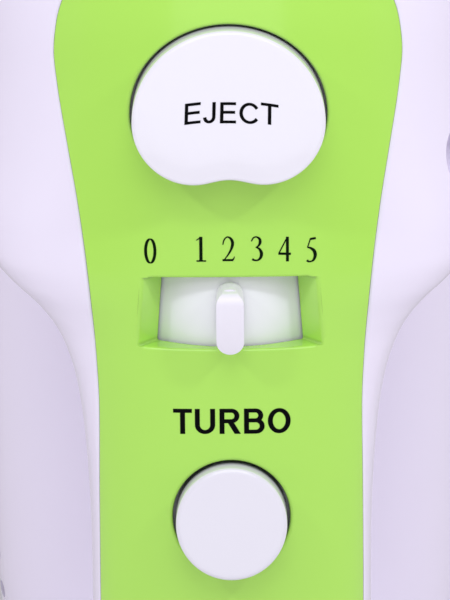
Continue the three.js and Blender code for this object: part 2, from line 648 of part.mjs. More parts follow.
// ---------------------------------------------------------------- beaters
/** A flat bar bent along points in the plane through the beater's axis. */
function bentBar(points, half, thickness) {
  return loft(points.map((p, i) => {
    const before = points[Math.max(i - 1, 0)];
    const after = points[Math.min(i + 1, points.length - 1)];
    const run = after.clone().sub(before).normalize();
    const out = new THREE.Vector2(run.y, -run.x).multiplyScalar(thickness / 2);
    return [
      vec(p.x + out.x, p.y + out.y, -half), vec(p.x - out.x, p.y - out.y, -half),
      vec(p.x - out.x, p.y - out.y, half), vec(p.x + out.x, p.y + out.y, half)];
  }));
}

/** One beater, standing on the spindle axis, its first pair of wires turned by an angle. */
function beater(at, degrees) {
  const reach = through([[0, 2.6], [0.1, 6], [0.3, 17], [0.5, 22.6], [0.65, BEATER_R], [0.82, 21],
    [0.93, 14], [1, 4.5]]);
  const rootY = 139;
  const length = BEATER_END_Y - 1 - rootY;
  const side = span(0, 1, 9).map((t) => new THREE.Vector2(reach(t), rootY + length * t));
  const back = side.slice().reverse().map((p) => new THREE.Vector2(-p.x, p.y));
  const loop = bentBar([...side, ...back], 2.3, 1.7);
  const hoops = [0, 90].map((turn) => loop.rotate([0, turn + degrees, 0]));
  const core = turned([[0, 20.6], [2.4, 20.6], [3, 22], [3, 71.4], [5.6, 71.4], [5.6, 73], [3, 73.4],
    [3, 134], [4.6, 136], [4.6, 144], [0, 145]], 'y', [0, 0, 0], 12);
  const tip = turned([[0, 223.4], [4.2, 223.4], [4.8, 225], [3, BEATER_END_Y], [0, BEATER_END_Y]],
    'y', [0, 0, 0], 10);
  const keys = [45, 135].map((turn) => box([7.6, 6, 0.9], [0, 61.6, 0]).rotate([0, turn, 0]));
  return join(core, tip, ...keys, ...hoops).translate(at);
}
piece('left_beater', beater([-SPINDLE_X, 0, SPINDLE_Z], 0), 'chrome');
piece('right_beater', beater([SPINDLE_X, 0, SPINDLE_Z], 45), 'chrome');

// ---------------------------------------------------------------- ejector
/** All that is above a button's face, which falls by some degrees towards the nose. */
function aboveFace(degrees, y, z) {
  return box([60, 20, 60], [0, -10, 0]).rotate([-degrees, 0, 0]).translate([0, y, z]);
}

const stem = plateXZ(roundedRect(-4.6, 153.6, 4.6, 160.4, 1), -66, -3.3, 3);
const capBlank = plateXZ(kidney(0), -77, -63.6);
const capRim = plateXZ(kidney(1.2, 5), -63.8, -62.4);
piece('eject_button', join(cut(capBlank, aboveFace(9, -72.8, EJECT_Z)), capRim, stem), 'white');

function ejectorFork() {
  const lowest = GEAR_TOP_Y - EJECT_TRAVEL - 3; // leaves 3 over the gear cover when pressed
  const bar = block([-24.5, -3, SPINDLE_Z - 4], [24.5, lowest - 2, SPINDLE_Z + 4]);
  const ribs = block([-22, lowest - 2.2, SPINDLE_Z - 1], [22, lowest, SPINDLE_Z + 1]);
  const prongs = atSpindles((at) => rod(2.7, 'y', 1.5, 20.2, at, 14));
  const pin = rod(2.1, 'y', 1.5, 17.2, [0, 0, SPINDLE_Z], 12);
  return join(bar, ribs, ...prongs, pin);
}
piece('ejector_fork', ejectorFork(), 'nylon');

/** A coil spring about an axis along Y. */
function coilSpring(radius, wire, fromY, toY, turns, at) {
  const lap = 8;
  const path = span(0, turns, turns * lap).map((t) => vec(
    at[0] + radius * Math.cos(2 * Math.PI * t),
    fromY + wire + ((toY - fromY - 2 * wire) * t) / turns,
    at[2] + radius * Math.sin(2 * Math.PI * t),
  ));
  const round = span(0, 2 * Math.PI, 5).slice(0, 5);
  const section = new THREE.Shape(round.map((t) => new THREE.Vector2(...polar(wire, t))));
  return solid(new THREE.ExtrudeGeometry(section, {
    steps: turns * lap,
    bevelEnabled: false,
    extrudePath: new THREE.CatmullRomCurve3(path),
  }));
}
piece('eject_spring', coilSpring(4.4, 0.5, 4.4, 17.1, 5, [0, 0, SPINDLE_Z]), 'steel');

// ---------------------------------------------------------------- turbo button
const turboAt = [0, 0, TURBO_Z];
const turboBlank = turned([[0, -77], [TURBO_R, -77], [TURBO_R, -65.2], [9.8, -65.2], [9.8, -64.2],
  [6.8, -64.2], [6.8, -62], [2.4, -62], [2.4, PLUNGER_Y], [0, PLUNGER_Y]], 'y', turboAt, 28);
piece('turbo_button', cut(turboBlank, aboveFace(10, -72.4, TURBO_Z)), 'white');
piece('turbo_spring', coilSpring(4.2, 0.45, -61.8, SWITCH_TOP_Y - GAP, 4, turboAt), 'steel');
const turboSwitch = cut(
  join(
    block([-5, SWITCH_TOP_Y, TURBO_Z - 10], [5, -46.2, TURBO_Z + 10]),
    block([-3.4, -46.4, TURBO_Z - 8], [-2.4, -43.9, TURBO_Z - 6]),
    block([-3.4, -46.4, TURBO_Z + 6], [-2.4, -43.9, TURBO_Z + 8]),
  ),
  rod(3, 'y', SWITCH_TOP_Y - 1, PLUNGER_Y + TURBO_TRAVEL + 2 * GAP, turboAt, 16),
);
piece('turbo_switch', turboSwitch, 'dark');

// ---------------------------------------------------------------- speed selector
const drumAt = [0, DRUM_Y, 0];
const sector = new THREE.Shape();
sector.absarc(0, DRUM_Y, DRUM_R, THREE.MathUtils.degToRad(-142), THREE.MathUtils.degToRad(-38));
sector.absarc(0, DRUM_Y, DRUM_R - 2, THREE.MathUtils.degToRad(-38), THREE.MathUtils.degToRad(-142), true);
const web = new THREE.Shape();
web.absarc(0, DRUM_Y, DRUM_R - 1, THREE.MathUtils.degToRad(-142), THREE.MathUtils.degToRad(-38));
web.lineTo(0, DRUM_Y + 2);
const drumBody = join(
  plateXY(sector, 116.4, 131.8, 14),
  plateXY(web, 116.4, 118, 8),
  plateXY(web, 130.2, 131.8, 8),
  rod(3.2, 'z', 114, 138, drumAt, 12),
);
const knobSeat = block([-1.3, DRUM_Y - 30, 121.6], [1.3, DRUM_Y - 10, 126.4]);
piece('speed_drum', cut(drumBody, knobSeat), 'white');
const knobGrip = plateXZ(roundedRect(-2, 118.85, 2, 128.3, 1.7), -73.5, -70.6, 4, 0.5);
const knobFoot = plateXZ(roundedRect(-2, 119.4, 2, 128.3, 1.7), -71.2, DRUM_Y - DRUM_R - GAP, 4);
const knobPeg = block([-1, DRUM_Y - DRUM_R - 0.5, 121.9], [1, DRUM_Y - DRUM_R + 3.4, 126.1]);
piece('speed_knob', join(knobGrip, knobFoot, knobPeg), 'white');
const speedSwitch = cut(
  join(block([-13, -58.6, 134.6], [13, -37, 142]), block([-9, -37.5, 136], [9, -34.4, 137.2])),
  rod(3.6, 'z', 130, 138.6, drumAt, 12),
);
piece('speed_switch', speedSwitch, 'dark');

export default mixer;
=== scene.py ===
"""Hand mixer: the finished surfaces, lettering, stage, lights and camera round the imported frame.

Shapes are worked in millimetres in the frame's own axes (+Z from heel to nose, -Y out of the top
of the handle) and are written to the meshes in metres.
"""
from __future__ import annotations

import json
import logging
import math
from dataclasses import dataclass, field
from enum import Enum
from math import cos, hypot, pi, radians, sin
from typing import Callable, Iterable, Sequence

import bpy
import numpy as np
from mathutils import Matrix, Vector

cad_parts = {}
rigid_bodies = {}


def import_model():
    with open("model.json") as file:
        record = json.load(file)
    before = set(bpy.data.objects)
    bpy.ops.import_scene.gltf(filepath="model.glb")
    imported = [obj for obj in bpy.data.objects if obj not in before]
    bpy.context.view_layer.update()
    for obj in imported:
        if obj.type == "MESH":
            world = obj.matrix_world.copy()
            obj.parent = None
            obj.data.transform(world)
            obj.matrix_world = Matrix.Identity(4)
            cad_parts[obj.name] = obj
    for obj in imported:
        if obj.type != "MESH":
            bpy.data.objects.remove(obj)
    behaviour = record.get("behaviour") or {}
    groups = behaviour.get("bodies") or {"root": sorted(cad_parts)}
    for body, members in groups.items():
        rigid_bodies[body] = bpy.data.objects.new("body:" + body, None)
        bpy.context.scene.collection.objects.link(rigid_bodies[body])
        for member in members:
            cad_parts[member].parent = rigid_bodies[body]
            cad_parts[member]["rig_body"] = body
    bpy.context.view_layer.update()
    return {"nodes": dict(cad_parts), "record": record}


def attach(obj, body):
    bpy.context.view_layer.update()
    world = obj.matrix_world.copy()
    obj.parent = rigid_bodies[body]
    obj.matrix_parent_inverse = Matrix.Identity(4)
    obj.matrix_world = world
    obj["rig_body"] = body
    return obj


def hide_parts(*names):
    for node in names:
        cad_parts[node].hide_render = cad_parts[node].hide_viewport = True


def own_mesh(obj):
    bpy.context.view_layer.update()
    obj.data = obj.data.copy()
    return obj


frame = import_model()

MM = 0.001
LOG = logging.getLogger("hand_mixer")

Piece = bpy.types.Object
Pair = tuple[float, float]
Point = tuple[float, float, float]
Ring = list[Point]


# ------------------------------------------------------------------ small tools
def smooth_curve(points: Sequence[Pair]) -> Callable[[float], float]:
    """Make a smooth function through points that never overshoots them.

    Args:
        points: (x, y) pairs in rising x.

    Returns:
        A function that gives y for any x, held level beyond the ends.
    """
    xs = [p[0] for p in points]
    ys = [p[1] for p in points]
    rise = [(ys[i + 1] - ys[i]) / (xs[i + 1] - xs[i]) for i in range(len(xs) - 1)]
    slope = [rise[0]]
    for before, after in zip(rise, rise[1:]):
        slope.append(0.0 if before * after <= 0 else 2 * before * after / (before + after))
    slope.append(rise[-1])

    def value(x: float) -> float:
        """Give the curve's height at x."""
        if x <= xs[0]:
            return ys[0]
        if x >= xs[-1]:
            return ys[-1]
        i = max(k for k in range(len(xs) - 1) if xs[k] <= x)
        h = xs[i + 1] - xs[i]
        t = (x - xs[i]) / h
        return (
            (1 + 2 * t) * (1 - t) ** 2 * ys[i]
            + t * (1 - t) ** 2 * h * slope[i]
            + t * t * (3 - 2 * t) * ys[i + 1]
            + t * t * (t - 1) * h * slope[i + 1]
        )

    return value


def spread(low: float, high: float, steps: int) -> list[float]:
    """Give steps + 1 even values from low to high."""
    return [low + (high - low) * i / steps for i in range(steps + 1)]


def deselect_all() -> None:
    """Leave nothing selected, in object mode."""
    if bpy.context.object and bpy.context.object.mode != "OBJECT":
        bpy.ops.object.mode_set(mode="OBJECT")
    bpy.ops.object.select_all(action="DESELECT")


def make_active(piece: Piece) -> None:
    """Select one object alone and make it the active one."""
    deselect_all()
    piece.select_set(True)
    bpy.context.view_layer.objects.active = piece


def from_faces(name: str, points: Iterable[Point], faces: Iterable[Sequence[int]]) -> Piece:
    """Build an object from points in millimetres.

    Args:
        name: Object name.
        points: Corner points in millimetres.
        faces: Corner numbers of each face.

    Returns:
        The new object, at the origin, with its place in its mesh.
    """
    mesh = bpy.data.meshes.new(name)
    mesh.from_pydata([(x * MM, y * MM, z * MM) for x, y, z in points], [], [tuple(f) for f in faces])
    mesh.update()
    piece = bpy.data.objects.new(name, mesh)
    bpy.context.scene.collection.objects.link(piece)
    return piece


def loft(name: str, rings: Sequence[Ring], closed_ends: bool = True) -> Piece:
    """Skin a row of rings, each with the same number of points.

    Args:
        name: Object name.
        rings: Rings in order, turning the right-handed way about the run.
        closed_ends: Whether a face closes each end.

    Returns:
        The skinned object, with its faces pointing out.
    """
    count = len(rings[0])
    faces: list[Sequence[int]] = []
    for r in range(len(rings) - 1):
        base = r * count
        for i in range(count):
            j = (i + 1) % count
            faces.append((base + i, base + j, base + count + j, base + count + i))
    if closed_ends:
        last = (len(rings) - 1) * count
        faces.append(tuple(range(count - 1, -1, -1)))
        faces.append(tuple(range(last, last + count)))
    piece = from_faces(name, [p for ring in rings for p in ring], faces)
    face_out(piece)
    return piece


def face_out(piece: Piece) -> None:
    """Merge doubles and turn every face outwards."""
    make_active(piece)
    bpy.ops.object.mode_set(mode="EDIT")
    bpy.ops.mesh.select_all(action="SELECT")
    bpy.ops.mesh.remove_doubles(threshold=1e-6)
    bpy.ops.mesh.normals_make_consistent(inside=False)
    bpy.ops.object.mode_set(mode="OBJECT")


def apply_modifier(piece: Piece, kind: str, **settings: object) -> None:
    """Add a modifier with its settings and apply it.

    Args:
        piece: The object to change.
        kind: Blender's modifier type.
        **settings: Values for the modifier.
    """
    make_active(piece)
    modifier = piece.modifiers.new(kind.title(), kind)
    for key, setting in settings.items():
        setattr(modifier, key, setting)
    bpy.ops.object.modifier_apply(modifier=modifier.name)


class Axis(Enum):
    """A direction of the frame."""

    X = (1, 0, 0)
    Y = (0, 1, 0)
    Z = (0, 0, 1)


class Combine(Enum):
    """How one solid acts on another."""

    CUT = "DIFFERENCE"
    JOIN = "UNION"
    KEEP = "INTERSECT"


def combine(piece: Piece, tool: Piece, how: Combine) -> None:
    """Cut, join or trim a piece with a tool solid, which is used up.

    Args:
        piece: The solid that changes.
        tool: The solid that acts on it.
        how: Which of the three.
    """
    apply_modifier(piece, "BOOLEAN", object=tool, operation=how.value, solver="MANIFOLD")
    bpy.data.objects.remove(tool)


def duplicate(piece: Piece, name: str) -> Piece:
    """Copy an object with its own mesh."""
    copy = piece.copy()
    copy.data = piece.data.copy()
    copy.name = copy.data.name = name
    for collection in list(copy.users_collection):
        collection.objects.unlink(copy)
    bpy.context.scene.collection.objects.link(copy)
    copy.data.materials.clear()
    return copy


def smooth_shade(piece: Piece, degrees: float = 32.0) -> None:
    """Shade smoothly, with edges over an angle kept sharp."""
    make_active(piece)
    bpy.ops.object.shade_smooth_by_angle(angle=radians(degrees))


def join_pieces(name: str, pieces: Sequence[Piece]) -> Piece:
    """Join objects into one mesh object."""
    deselect_all()
    for piece in pieces:
        piece.select_set(True)
    bpy.context.view_layer.objects.active = pieces[0]
    bpy.ops.object.join()
    pieces[0].name = pieces[0].data.name = name
    return pieces[0]


def block(name: str, low: Point, high: Point) -> Piece:
    """A box between two corners in millimetres."""
    centre = [(a + b) / 2 * MM for a, b in zip(low, high)]
    deselect_all()
    bpy.ops.mesh.primitive_cube_add(size=1.0, location=centre)
    piece = bpy.context.object
    piece.scale = [(b - a) * MM for a, b in zip(low, high)]
    return settle(piece, name)


def drum(name: str, radius: float, ends: Pair, centre: Pair, axis: Axis,
         sides: int = 64) -> Piece:
    """A round bar along the Y or Z axis.

    Args:
        name: Object name.
        radius: Radius in millimetres.
        ends: Where it starts and stops along its axis.
        centre: Its other two coordinates, in X, Y, Z order.
        axis: Its axis, Y or Z.
        sides: Number of sides.

    Returns:
        The bar.
    """
    middle = (ends[0] + ends[1]) / 2
    at = (centre[0], middle, centre[1]) if axis is Axis.Y else (centre[0], centre[1], middle)
    turn = (pi / 2, 0, 0) if axis is Axis.Y else (0, 0, 0)
    deselect_all()
    bpy.ops.mesh.primitive_cylinder_add(
        vertices=sides, radius=radius * MM, depth=(ends[1] - ends[0]) * MM,
        location=[v * MM for v in at], rotation=turn)
    return settle(bpy.context.object, name)


def settle(piece: Piece, name: str) -> Piece:
    """Name a piece and move its place into its mesh."""
    make_active(piece)
    bpy.ops.object.transform_apply(location=True, rotation=True, scale=True)
    piece.name = piece.data.name = name
    return piece


# ------------------------------------------------------------------ finishes
def set_inputs(node: bpy.types.Node, values: dict[str, object]) -> None:
    """Write constants on a node's own sockets."""
    for socket, value in values.items():
        node.inputs[socket].default_value = value


def linear(red: int, green: int, blue: int) -> tuple[float, float, float, float]:
    """Turn an 8-bit display colour into a linear one."""
    channels = [c / 255 for c in (red, green, blue)]
    lin = [c / 12.92 if c <= 0.04045 else ((c + 0.055) / 1.055) ** 2.4 for c in channels]
    return (*lin, 1.0)


TINT_SIZE = 9.0
WEAR_SIZE = 2.5
COAT_ROUGHNESS = 0.12
# Dark green of the painted shade in narrow gaps, where shadow falls.
PAINTED_SHADE_COLOUR = (4, 44, 6)


@dataclass(frozen=True)
class Finish:
    """One moulded, cast or plated surface.

    Attributes:
        name: Material name.
        colour: 8-bit display colour.
        variation: How far the colour drifts from light to dark.
        roughness: Lowest and highest roughness.
        grain_size: Millimetres across one grain of the fine texture.
        grain_height: Height of the fine texture, in millimetres.
        metallic: 0 for plastic, 1 for metal.
        coat: Weight of a clear gloss coat.
        shine: Strength of the plain surface's own reflection.
        subsurface: Share of light that scatters inside.
        painted_shade_reach: Painted shade: how far apart walls may be, in millimetres, for the colour between
            them to be painted dark, in place of the shadow in a narrow gap.
    """

    name: str
    colour: tuple[int, int, int]
    variation: float = 0.03
    roughness: Pair = (0.3, 0.38)
    grain_size: float = 0.35
    grain_height: float = 0.004
    metallic: float = 0.0
    coat: float = 0.0
    shine: float = 0.5
    subsurface: float = 0.0
    painted_shade_reach: float = 0.0

    def material(self) -> bpy.types.Material:
        """Make the material, or give the one already made."""
        made = bpy.data.materials.get(self.name)
        if made:
            return made
        material = bpy.data.materials.new(self.name)
        material.use_nodes = True
        nodes, links = material.node_tree.nodes, material.node_tree.links
        shader = nodes["Principled BSDF"]
        place = nodes.new("ShaderNodeTexCoord")
        drift = self._noise(nodes, links, place, 1 / (TINT_SIZE * MM), 3.0)
        tint = nodes.new("ShaderNodeMix")
        tint.data_type = "RGBA"
        base = linear(*self.colour)
        tint.inputs[6].default_value = tuple(c * (1 - self.variation) for c in base[:3]) + (1.0,)
        tint.inputs[7].default_value = tuple(min(c * (1 + self.variation), 1.0) for c in base[:3]) + (1.0,)
        links.new(drift.outputs["Fac"], tint.inputs["Factor"])
        # Painted shade: narrow gaps get a darker colour in place of their shadow.
        if self.painted_shade_reach:
            tint = self._paint_gap_shade(nodes, links, tint)
        links.new(tint.outputs[2], shader.inputs["Base Color"])
        wear = self._noise(nodes, links, place, 1 / (WEAR_SIZE * MM), 4.0)
        rough = nodes.new("ShaderNodeMapRange")
        set_inputs(rough, {"From Min": 0.35, "From Max": 0.65,
                           "To Min": self.roughness[0], "To Max": self.roughness[1]})
        links.new(wear.outputs["Fac"], rough.inputs["Value"])
        links.new(rough.outputs["Result"], shader.inputs["Roughness"])
        grain = self._noise(nodes, links, place, 1 / (self.grain_size * MM), 2.0)
        bump = nodes.new("ShaderNodeBump")
        set_inputs(bump, {"Distance": self.grain_height * MM, "Strength": 1.0})
        links.new(grain.outputs["Fac"], bump.inputs["Height"])
        links.new(bump.outputs["Normal"], shader.inputs["Normal"])
        set_inputs(shader, {"Metallic": self.metallic, "Coat Weight": self.coat,
                            "Coat Roughness": COAT_ROUGHNESS, "Specular IOR Level": self.shine})
        if self.subsurface:
            set_inputs(shader, {"Subsurface Weight": self.subsurface, "Subsurface Scale": 1.2 * MM,
                                "Subsurface Radius": (1.0, 0.9, 0.8)})
        return material

    def _paint_gap_shade(self, nodes: bpy.types.Nodes, links: bpy.types.NodeLinks,
                         tint: bpy.types.Node) -> bpy.types.Node:
        """Paint shade: let the colour go dark green where walls are close together, in place of the shadow
        there.
        """
        # Ambient occlusion picks out the narrow gaps that get the painted shade.
        near = nodes.new("ShaderNodeAmbientOcclusion")
        near.samples = 6
        near.inputs["Distance"].default_value = self.painted_shade_reach * MM
        painted_shade_mix = nodes.new("ShaderNodeMix")
        painted_shade_mix.data_type = "RGBA"
        painted_shade_mix.inputs[6].default_value = linear(*PAINTED_SHADE_COLOUR)
        links.new(near.outputs["AO"], painted_shade_mix.inputs["Factor"])
        links.new(tint.outputs[2], painted_shade_mix.inputs[7])
        return painted_shade_mix

    @staticmethod
    def _noise(nodes: bpy.types.Nodes, links: bpy.types.NodeLinks, place: bpy.types.Node, scale: float,
               detail: float) -> bpy.types.Node:
        """Add a noise texture read in the object's own coordinates."""
        noise = nodes.new("ShaderNodeTexNoise")
        set_inputs(noise, {"Scale": scale, "Detail": detail})
        links.new(place.outputs["Object"], noise.inputs["Vector"])
        return noise

    def dress(self, piece: Piece) -> None:
        """Give a piece this finish and nothing else."""
        piece.data.materials.clear()
        piece.data.materials.append(self.material())


def hand_over(piece: Piece, finish: Finish, body: str, slot: str, *nodes: str) -> None:
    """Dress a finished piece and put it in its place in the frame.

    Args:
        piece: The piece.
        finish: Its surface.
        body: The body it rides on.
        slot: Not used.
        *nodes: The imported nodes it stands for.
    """
    finish.dress(piece)
    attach(piece, body)
    if nodes:
        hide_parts(*nodes)
    LOG.info("%s: %d faces", piece.name, len(piece.data.polygons))


HOUSING_WHITE = Finish("housing_white", (238, 232, 250), 0.003, (0.2, 0.22), 0.5, 0.0004)
# These finishes paint shade into narrow gaps and under the caps, darkening their colour there.
CONTROL_WHITE = Finish("control_white", (229, 227, 238), 0.002, (0.1, 0.12), 0.5, 0.0004,
                       coat=0.6, painted_shade_reach=0.8)
EJECT_WHITE = Finish("eject_white", (236, 234, 244), 0.002, (0.1, 0.12), 0.5, 0.0004, coat=0.6, painted_shade_reach=0.3)
KNOB_WHITE = Finish("knob_white", (238, 235, 246), 0.002, (0.34, 0.38), 0.5, 0.0004)
DRUM_WHITE = Finish("drum_white", (239, 240, 245), 0.002, (0.16, 0.18), 0.5, 0.0004)
PANEL_GREEN = Finish("gloss_green", (175, 231, 90), 0.004, (0.16, 0.18), 0.8, 0.001, coat=0.6, painted_shade_reach=0.7)
PAD_RUBBER = Finish("moulded_rubber", (96, 96, 100), 0.08, (0.72, 0.86), 0.4, 0.02)
GLAND_DARK = Finish("gland_dark", (58, 58, 62), 0.06, (0.5, 0.62), 0.4, 0.012)
FRAME_GREY = Finish("frame_grey", (206, 207, 214), 0.04, (0.38, 0.48), 0.4, 0.008)
NYLON_CREAM = Finish("natural_nylon", (238, 234, 222), 0.04, (0.38, 0.5), 0.4, 0.006, subsurface=0.1)
TURNED_STEEL = Finish("turned_steel", (200, 202, 206), 0.05, (0.2, 0.34), 0.25, 0.004, metallic=1.0)
CHROME = Finish("polished_chrome", (226, 228, 232), 0.02, (0.06, 0.14), 0.6, 0.002, metallic=1.0)
STACK_IRON = Finish("lamination_iron", (112, 115, 120), 0.12, (0.4, 0.6), 0.3, 0.02, metallic=0.9)
WINDING_COPPER = Finish("enamelled_copper", (186, 108, 60), 0.14, (0.26, 0.4), 0.25, 0.03, metallic=0.9)
SINTERED_BRONZE = Finish("sintered_bronze", (196, 160, 92), 0.08, (0.34, 0.5), 0.2, 0.01, metallic=1.0)
CARBON = Finish("carbon_block", (44, 45, 48), 0.1, (0.6, 0.75), 0.2, 0.01)
INK = Finish("legend_ink", (6, 6, 8), 0.05, (0.5, 0.6), 0.3, 0.001, shine=0.05)
DIGIT_INK = Finish("digit_ink", (8, 24, 6), 0.05, (0.5, 0.6), 0.3, 0.001, shine=0.05)

CAD_FINISHES: dict[str, Finish] = {
    node: finish
    for finish, nodes in (
        (PAD_RUBBER, "heel_pad"),
        (GLAND_DARK, "cord_inlet rear_bridge front_bridge turbo_switch speed_switch"),
        (FRAME_GREY, "socket_plate gear_frame gear_cover"),
        (STACK_IRON, "stator_core armature_core"),
        (WINDING_COPPER, "field_coil_left field_coil_right armature_winding commutator"),
        (SINTERED_BRONZE, "rear_bearing front_bearing nose_bearing brush_holder_left brush_holder_right"),
        (CARBON, "brush_left brush_right"),
        (NYLON_CREAM, "cooling_fan left_worm_wheel right_worm_wheel ejector_fork"),
        (TURNED_STEEL, "armature_shaft left_spindle right_spindle eject_spring turbo_spring"),
        (CHROME, "left_beater right_beater"),
        (HOUSING_WHITE, "left_shell right_shell"),
        (PANEL_GREEN, "top_panel"),
        (CONTROL_WHITE, "eject_button turbo_button speed_knob"),
        (DRUM_WHITE, "speed_drum"),
    )
    for node in nodes.split()
}


# ------------------------------------------------------------------ the outer form
Curve = Callable[[float], float]


def curve_field(*points: Pair) -> Curve:
    """A dataclass field that holds a smooth curve through points."""
    return field(default_factory=lambda: smooth_curve(points))


@dataclass
class Form:
    """The mixer's outer surface, as curves along Z, in millimetres."""

    heel_z: float = 1.2
    nose_z: float = 200.5
    thickening: float = 3.2
    thickening_ends: Pair = (150.0, 195.0)
    nose_y: float = 8.0
    underside_y: float = 67.0
    grip_under_y: float = -41.0
    gap_ends: Pair = (36.0, 133.0)
    wall: float = 2.6
    spindle: Pair = (20.5, 157.0)
    crown: Curve = curve_field((0, -62), (30, -65.5), (60, -67.6), (100, -68.6), (200.5, -68.6))
    grip_half: Curve = curve_field(
        (0, 18), (25, 20.2), (60, 21), (86, 21), (96, 21.3), (105, 22), (112, 23.2), (118, 25.6),
        (122, 29), (126, 34), (130, 37.4), (138, 39.6), (158, 40.2), (200.5, 40.2))
    shoulder: Curve = curve_field((0, 14), (100, 14), (112, 16), (127, 26), (145, 42), (160, 50), (200.5, 50))
    fullness: Curve = curve_field((0, 3), (110, 3), (150, 2.4), (200.5, 2.4))
    body_half: Curve = curve_field((0, 31), (25, 36), (60, 40.5), (110, 43), (150, 43.5), (200.5, 43.5))
    body_top: Curve = curve_field((0, -4), (110, -4), (150, -20), (200.5, -30))

    @staticmethod
    def heel_round(z: float, radius: float) -> float:
        """How much a rounded heel edge takes off at a height."""
        return 0.0 if z >= radius else radius - math.sqrt(max(radius ** 2 - (radius - z) ** 2, 0.0))

    def nose_round(self, z: float, power: float, start: float = 150.0) -> float:
        """The factor that draws a section in towards the nose."""
        s = min(max((z - start) / (self.nose_z - start), 0.0), 1.0)
        return math.sqrt(max(1 - s ** power, 0.0))

    def top_y(self, z: float) -> float:
        """Height of the ridge over the controls."""
        return self.nose_y - (self.nose_y - self.crown(z) - self.heel_round(z, 14)) * self.nose_round(z, 4)

    def half_x(self, z: float) -> float:
        """Half width of the arch over the controls."""
        return (self.grip_half(z) - self.heel_round(z, 6)) * self.nose_round(z, 3)

    def surface_y(self, x: float, z: float) -> float:
        """Height of the top surface at a place."""
        u = min(abs(x) / max(self.half_x(z), 0.01), 1.0)
        n = self.fullness(z)
        return self.top_y(z) + self.shoulder(z) * self.nose_round(z, 4) * (1 - (1 - u ** n) ** (1 / n))

    def arch_ring(self, z: float, wall: float, roof: float, steps: int) -> Ring:
        """Section of the upper housing: a full arch with straight sides."""
        near = z + (self.thickening * self._ease(z) if wall > 0 else 0)
        close = self.nose_round(near, 4)
        half = self.half_x(near) - wall * min(1.0, close * 2)
        top = self.top_y(near) + roof * close
        rise = self.shoulder(near) * close
        full = self.fullness(near)
        floor = self.nose_y + 14 * close
        arch = []
        for t in spread(0, pi, steps):
            x = -half * math.copysign(abs(cos(t)) ** (2 / full), cos(t))
            arch.append((x, top + rise * (1 - abs(sin(t)) ** (2 / full)), z))
        return [(-half, floor, z), *arch, (half, floor, z)]

    def body_ring(self, z: float, wall: float, steps: int) -> Ring:
        """Section of the motor housing: a closed oval, flatter underneath."""
        near = z + (self.thickening * self._ease(z) if wall > 0 else 0)
        close = self.nose_round(near, 4, 158)
        half = (self.body_half(near) - self.heel_round(near, 10)) * self.nose_round(near, 3) - wall
        half = max(half, 0.8)
        under = self.nose_y + (self.underside_y - self.heel_round(near, 14) - self.nose_y) * close - wall
        top = self.nose_y + (self.body_top(near) - self.nose_y) * close + wall
        middle, rise = (under + top) / 2, max(under - top, 1.0) / 2
        ring = []
        for t in spread(0, 2 * pi, steps)[:-1]:
            full = 3.4 if sin(t) > 0 else 2.5
            x = half * math.copysign(abs(cos(t)) ** (2 / full), cos(t))
            ring.append((x, middle + rise * math.copysign(abs(sin(t)) ** (2 / full), sin(t)), z))
        return ring

    def _ease(self, z: float) -> float:
        """Ease from 0 at the front of the drive to 1 near the nose."""
        start, end = self.thickening_ends
        s = min(max((z - start) / (end - start), 0.0), 1.0)
        return s * s * (3 - 2 * s)

    def finger_gap(self, wall: float, corner_steps: int, turn_steps: int) -> Piece:
        """The slot under the handle as a solid, flared so that the grip is round."""
        round_edge, corner = 9.0, 15.0
        low_z, high_z = self.gap_ends
        corners = [
            (low_z + corner, self.grip_under_y + corner, pi),
            (high_z - corner, self.grip_under_y + corner, 1.5 * pi),
            (high_z - corner, -1 - corner, 0.0),
            (low_z + corner, -1 - corner, 0.5 * pi),
        ]
        outline = [
            (cz, cy, cos(start + a), sin(start + a))
            for cz, cy, start in corners
            for a in spread(0, pi / 2, corner_steps)
        ]

        def ring(side: int, turn: float, far: bool = False) -> Ring:
            """One ring of the slot on one side."""
            grow = wall + round_edge * (1 - cos(turn)) + corner
            points = []
            for cz, cy, along, up in outline:
                z, y = cz + along * grow, cy + up * grow
                edge = self.half_x(z) - wall - round_edge * (1 - sin(turn))
                points.append((side * (60.0 if far else edge), y, z))
            return points

        turns = spread(0, 0.5 * pi, turn_steps)
        rings = [ring(-1, turns[-1], True)] + [ring(-1, t) for t in reversed(turns)]
        rings += [ring(1, t) for t in turns] + [ring(1, turns[-1], True)]
        return loft("finger_gap", rings)


FORM = Form()


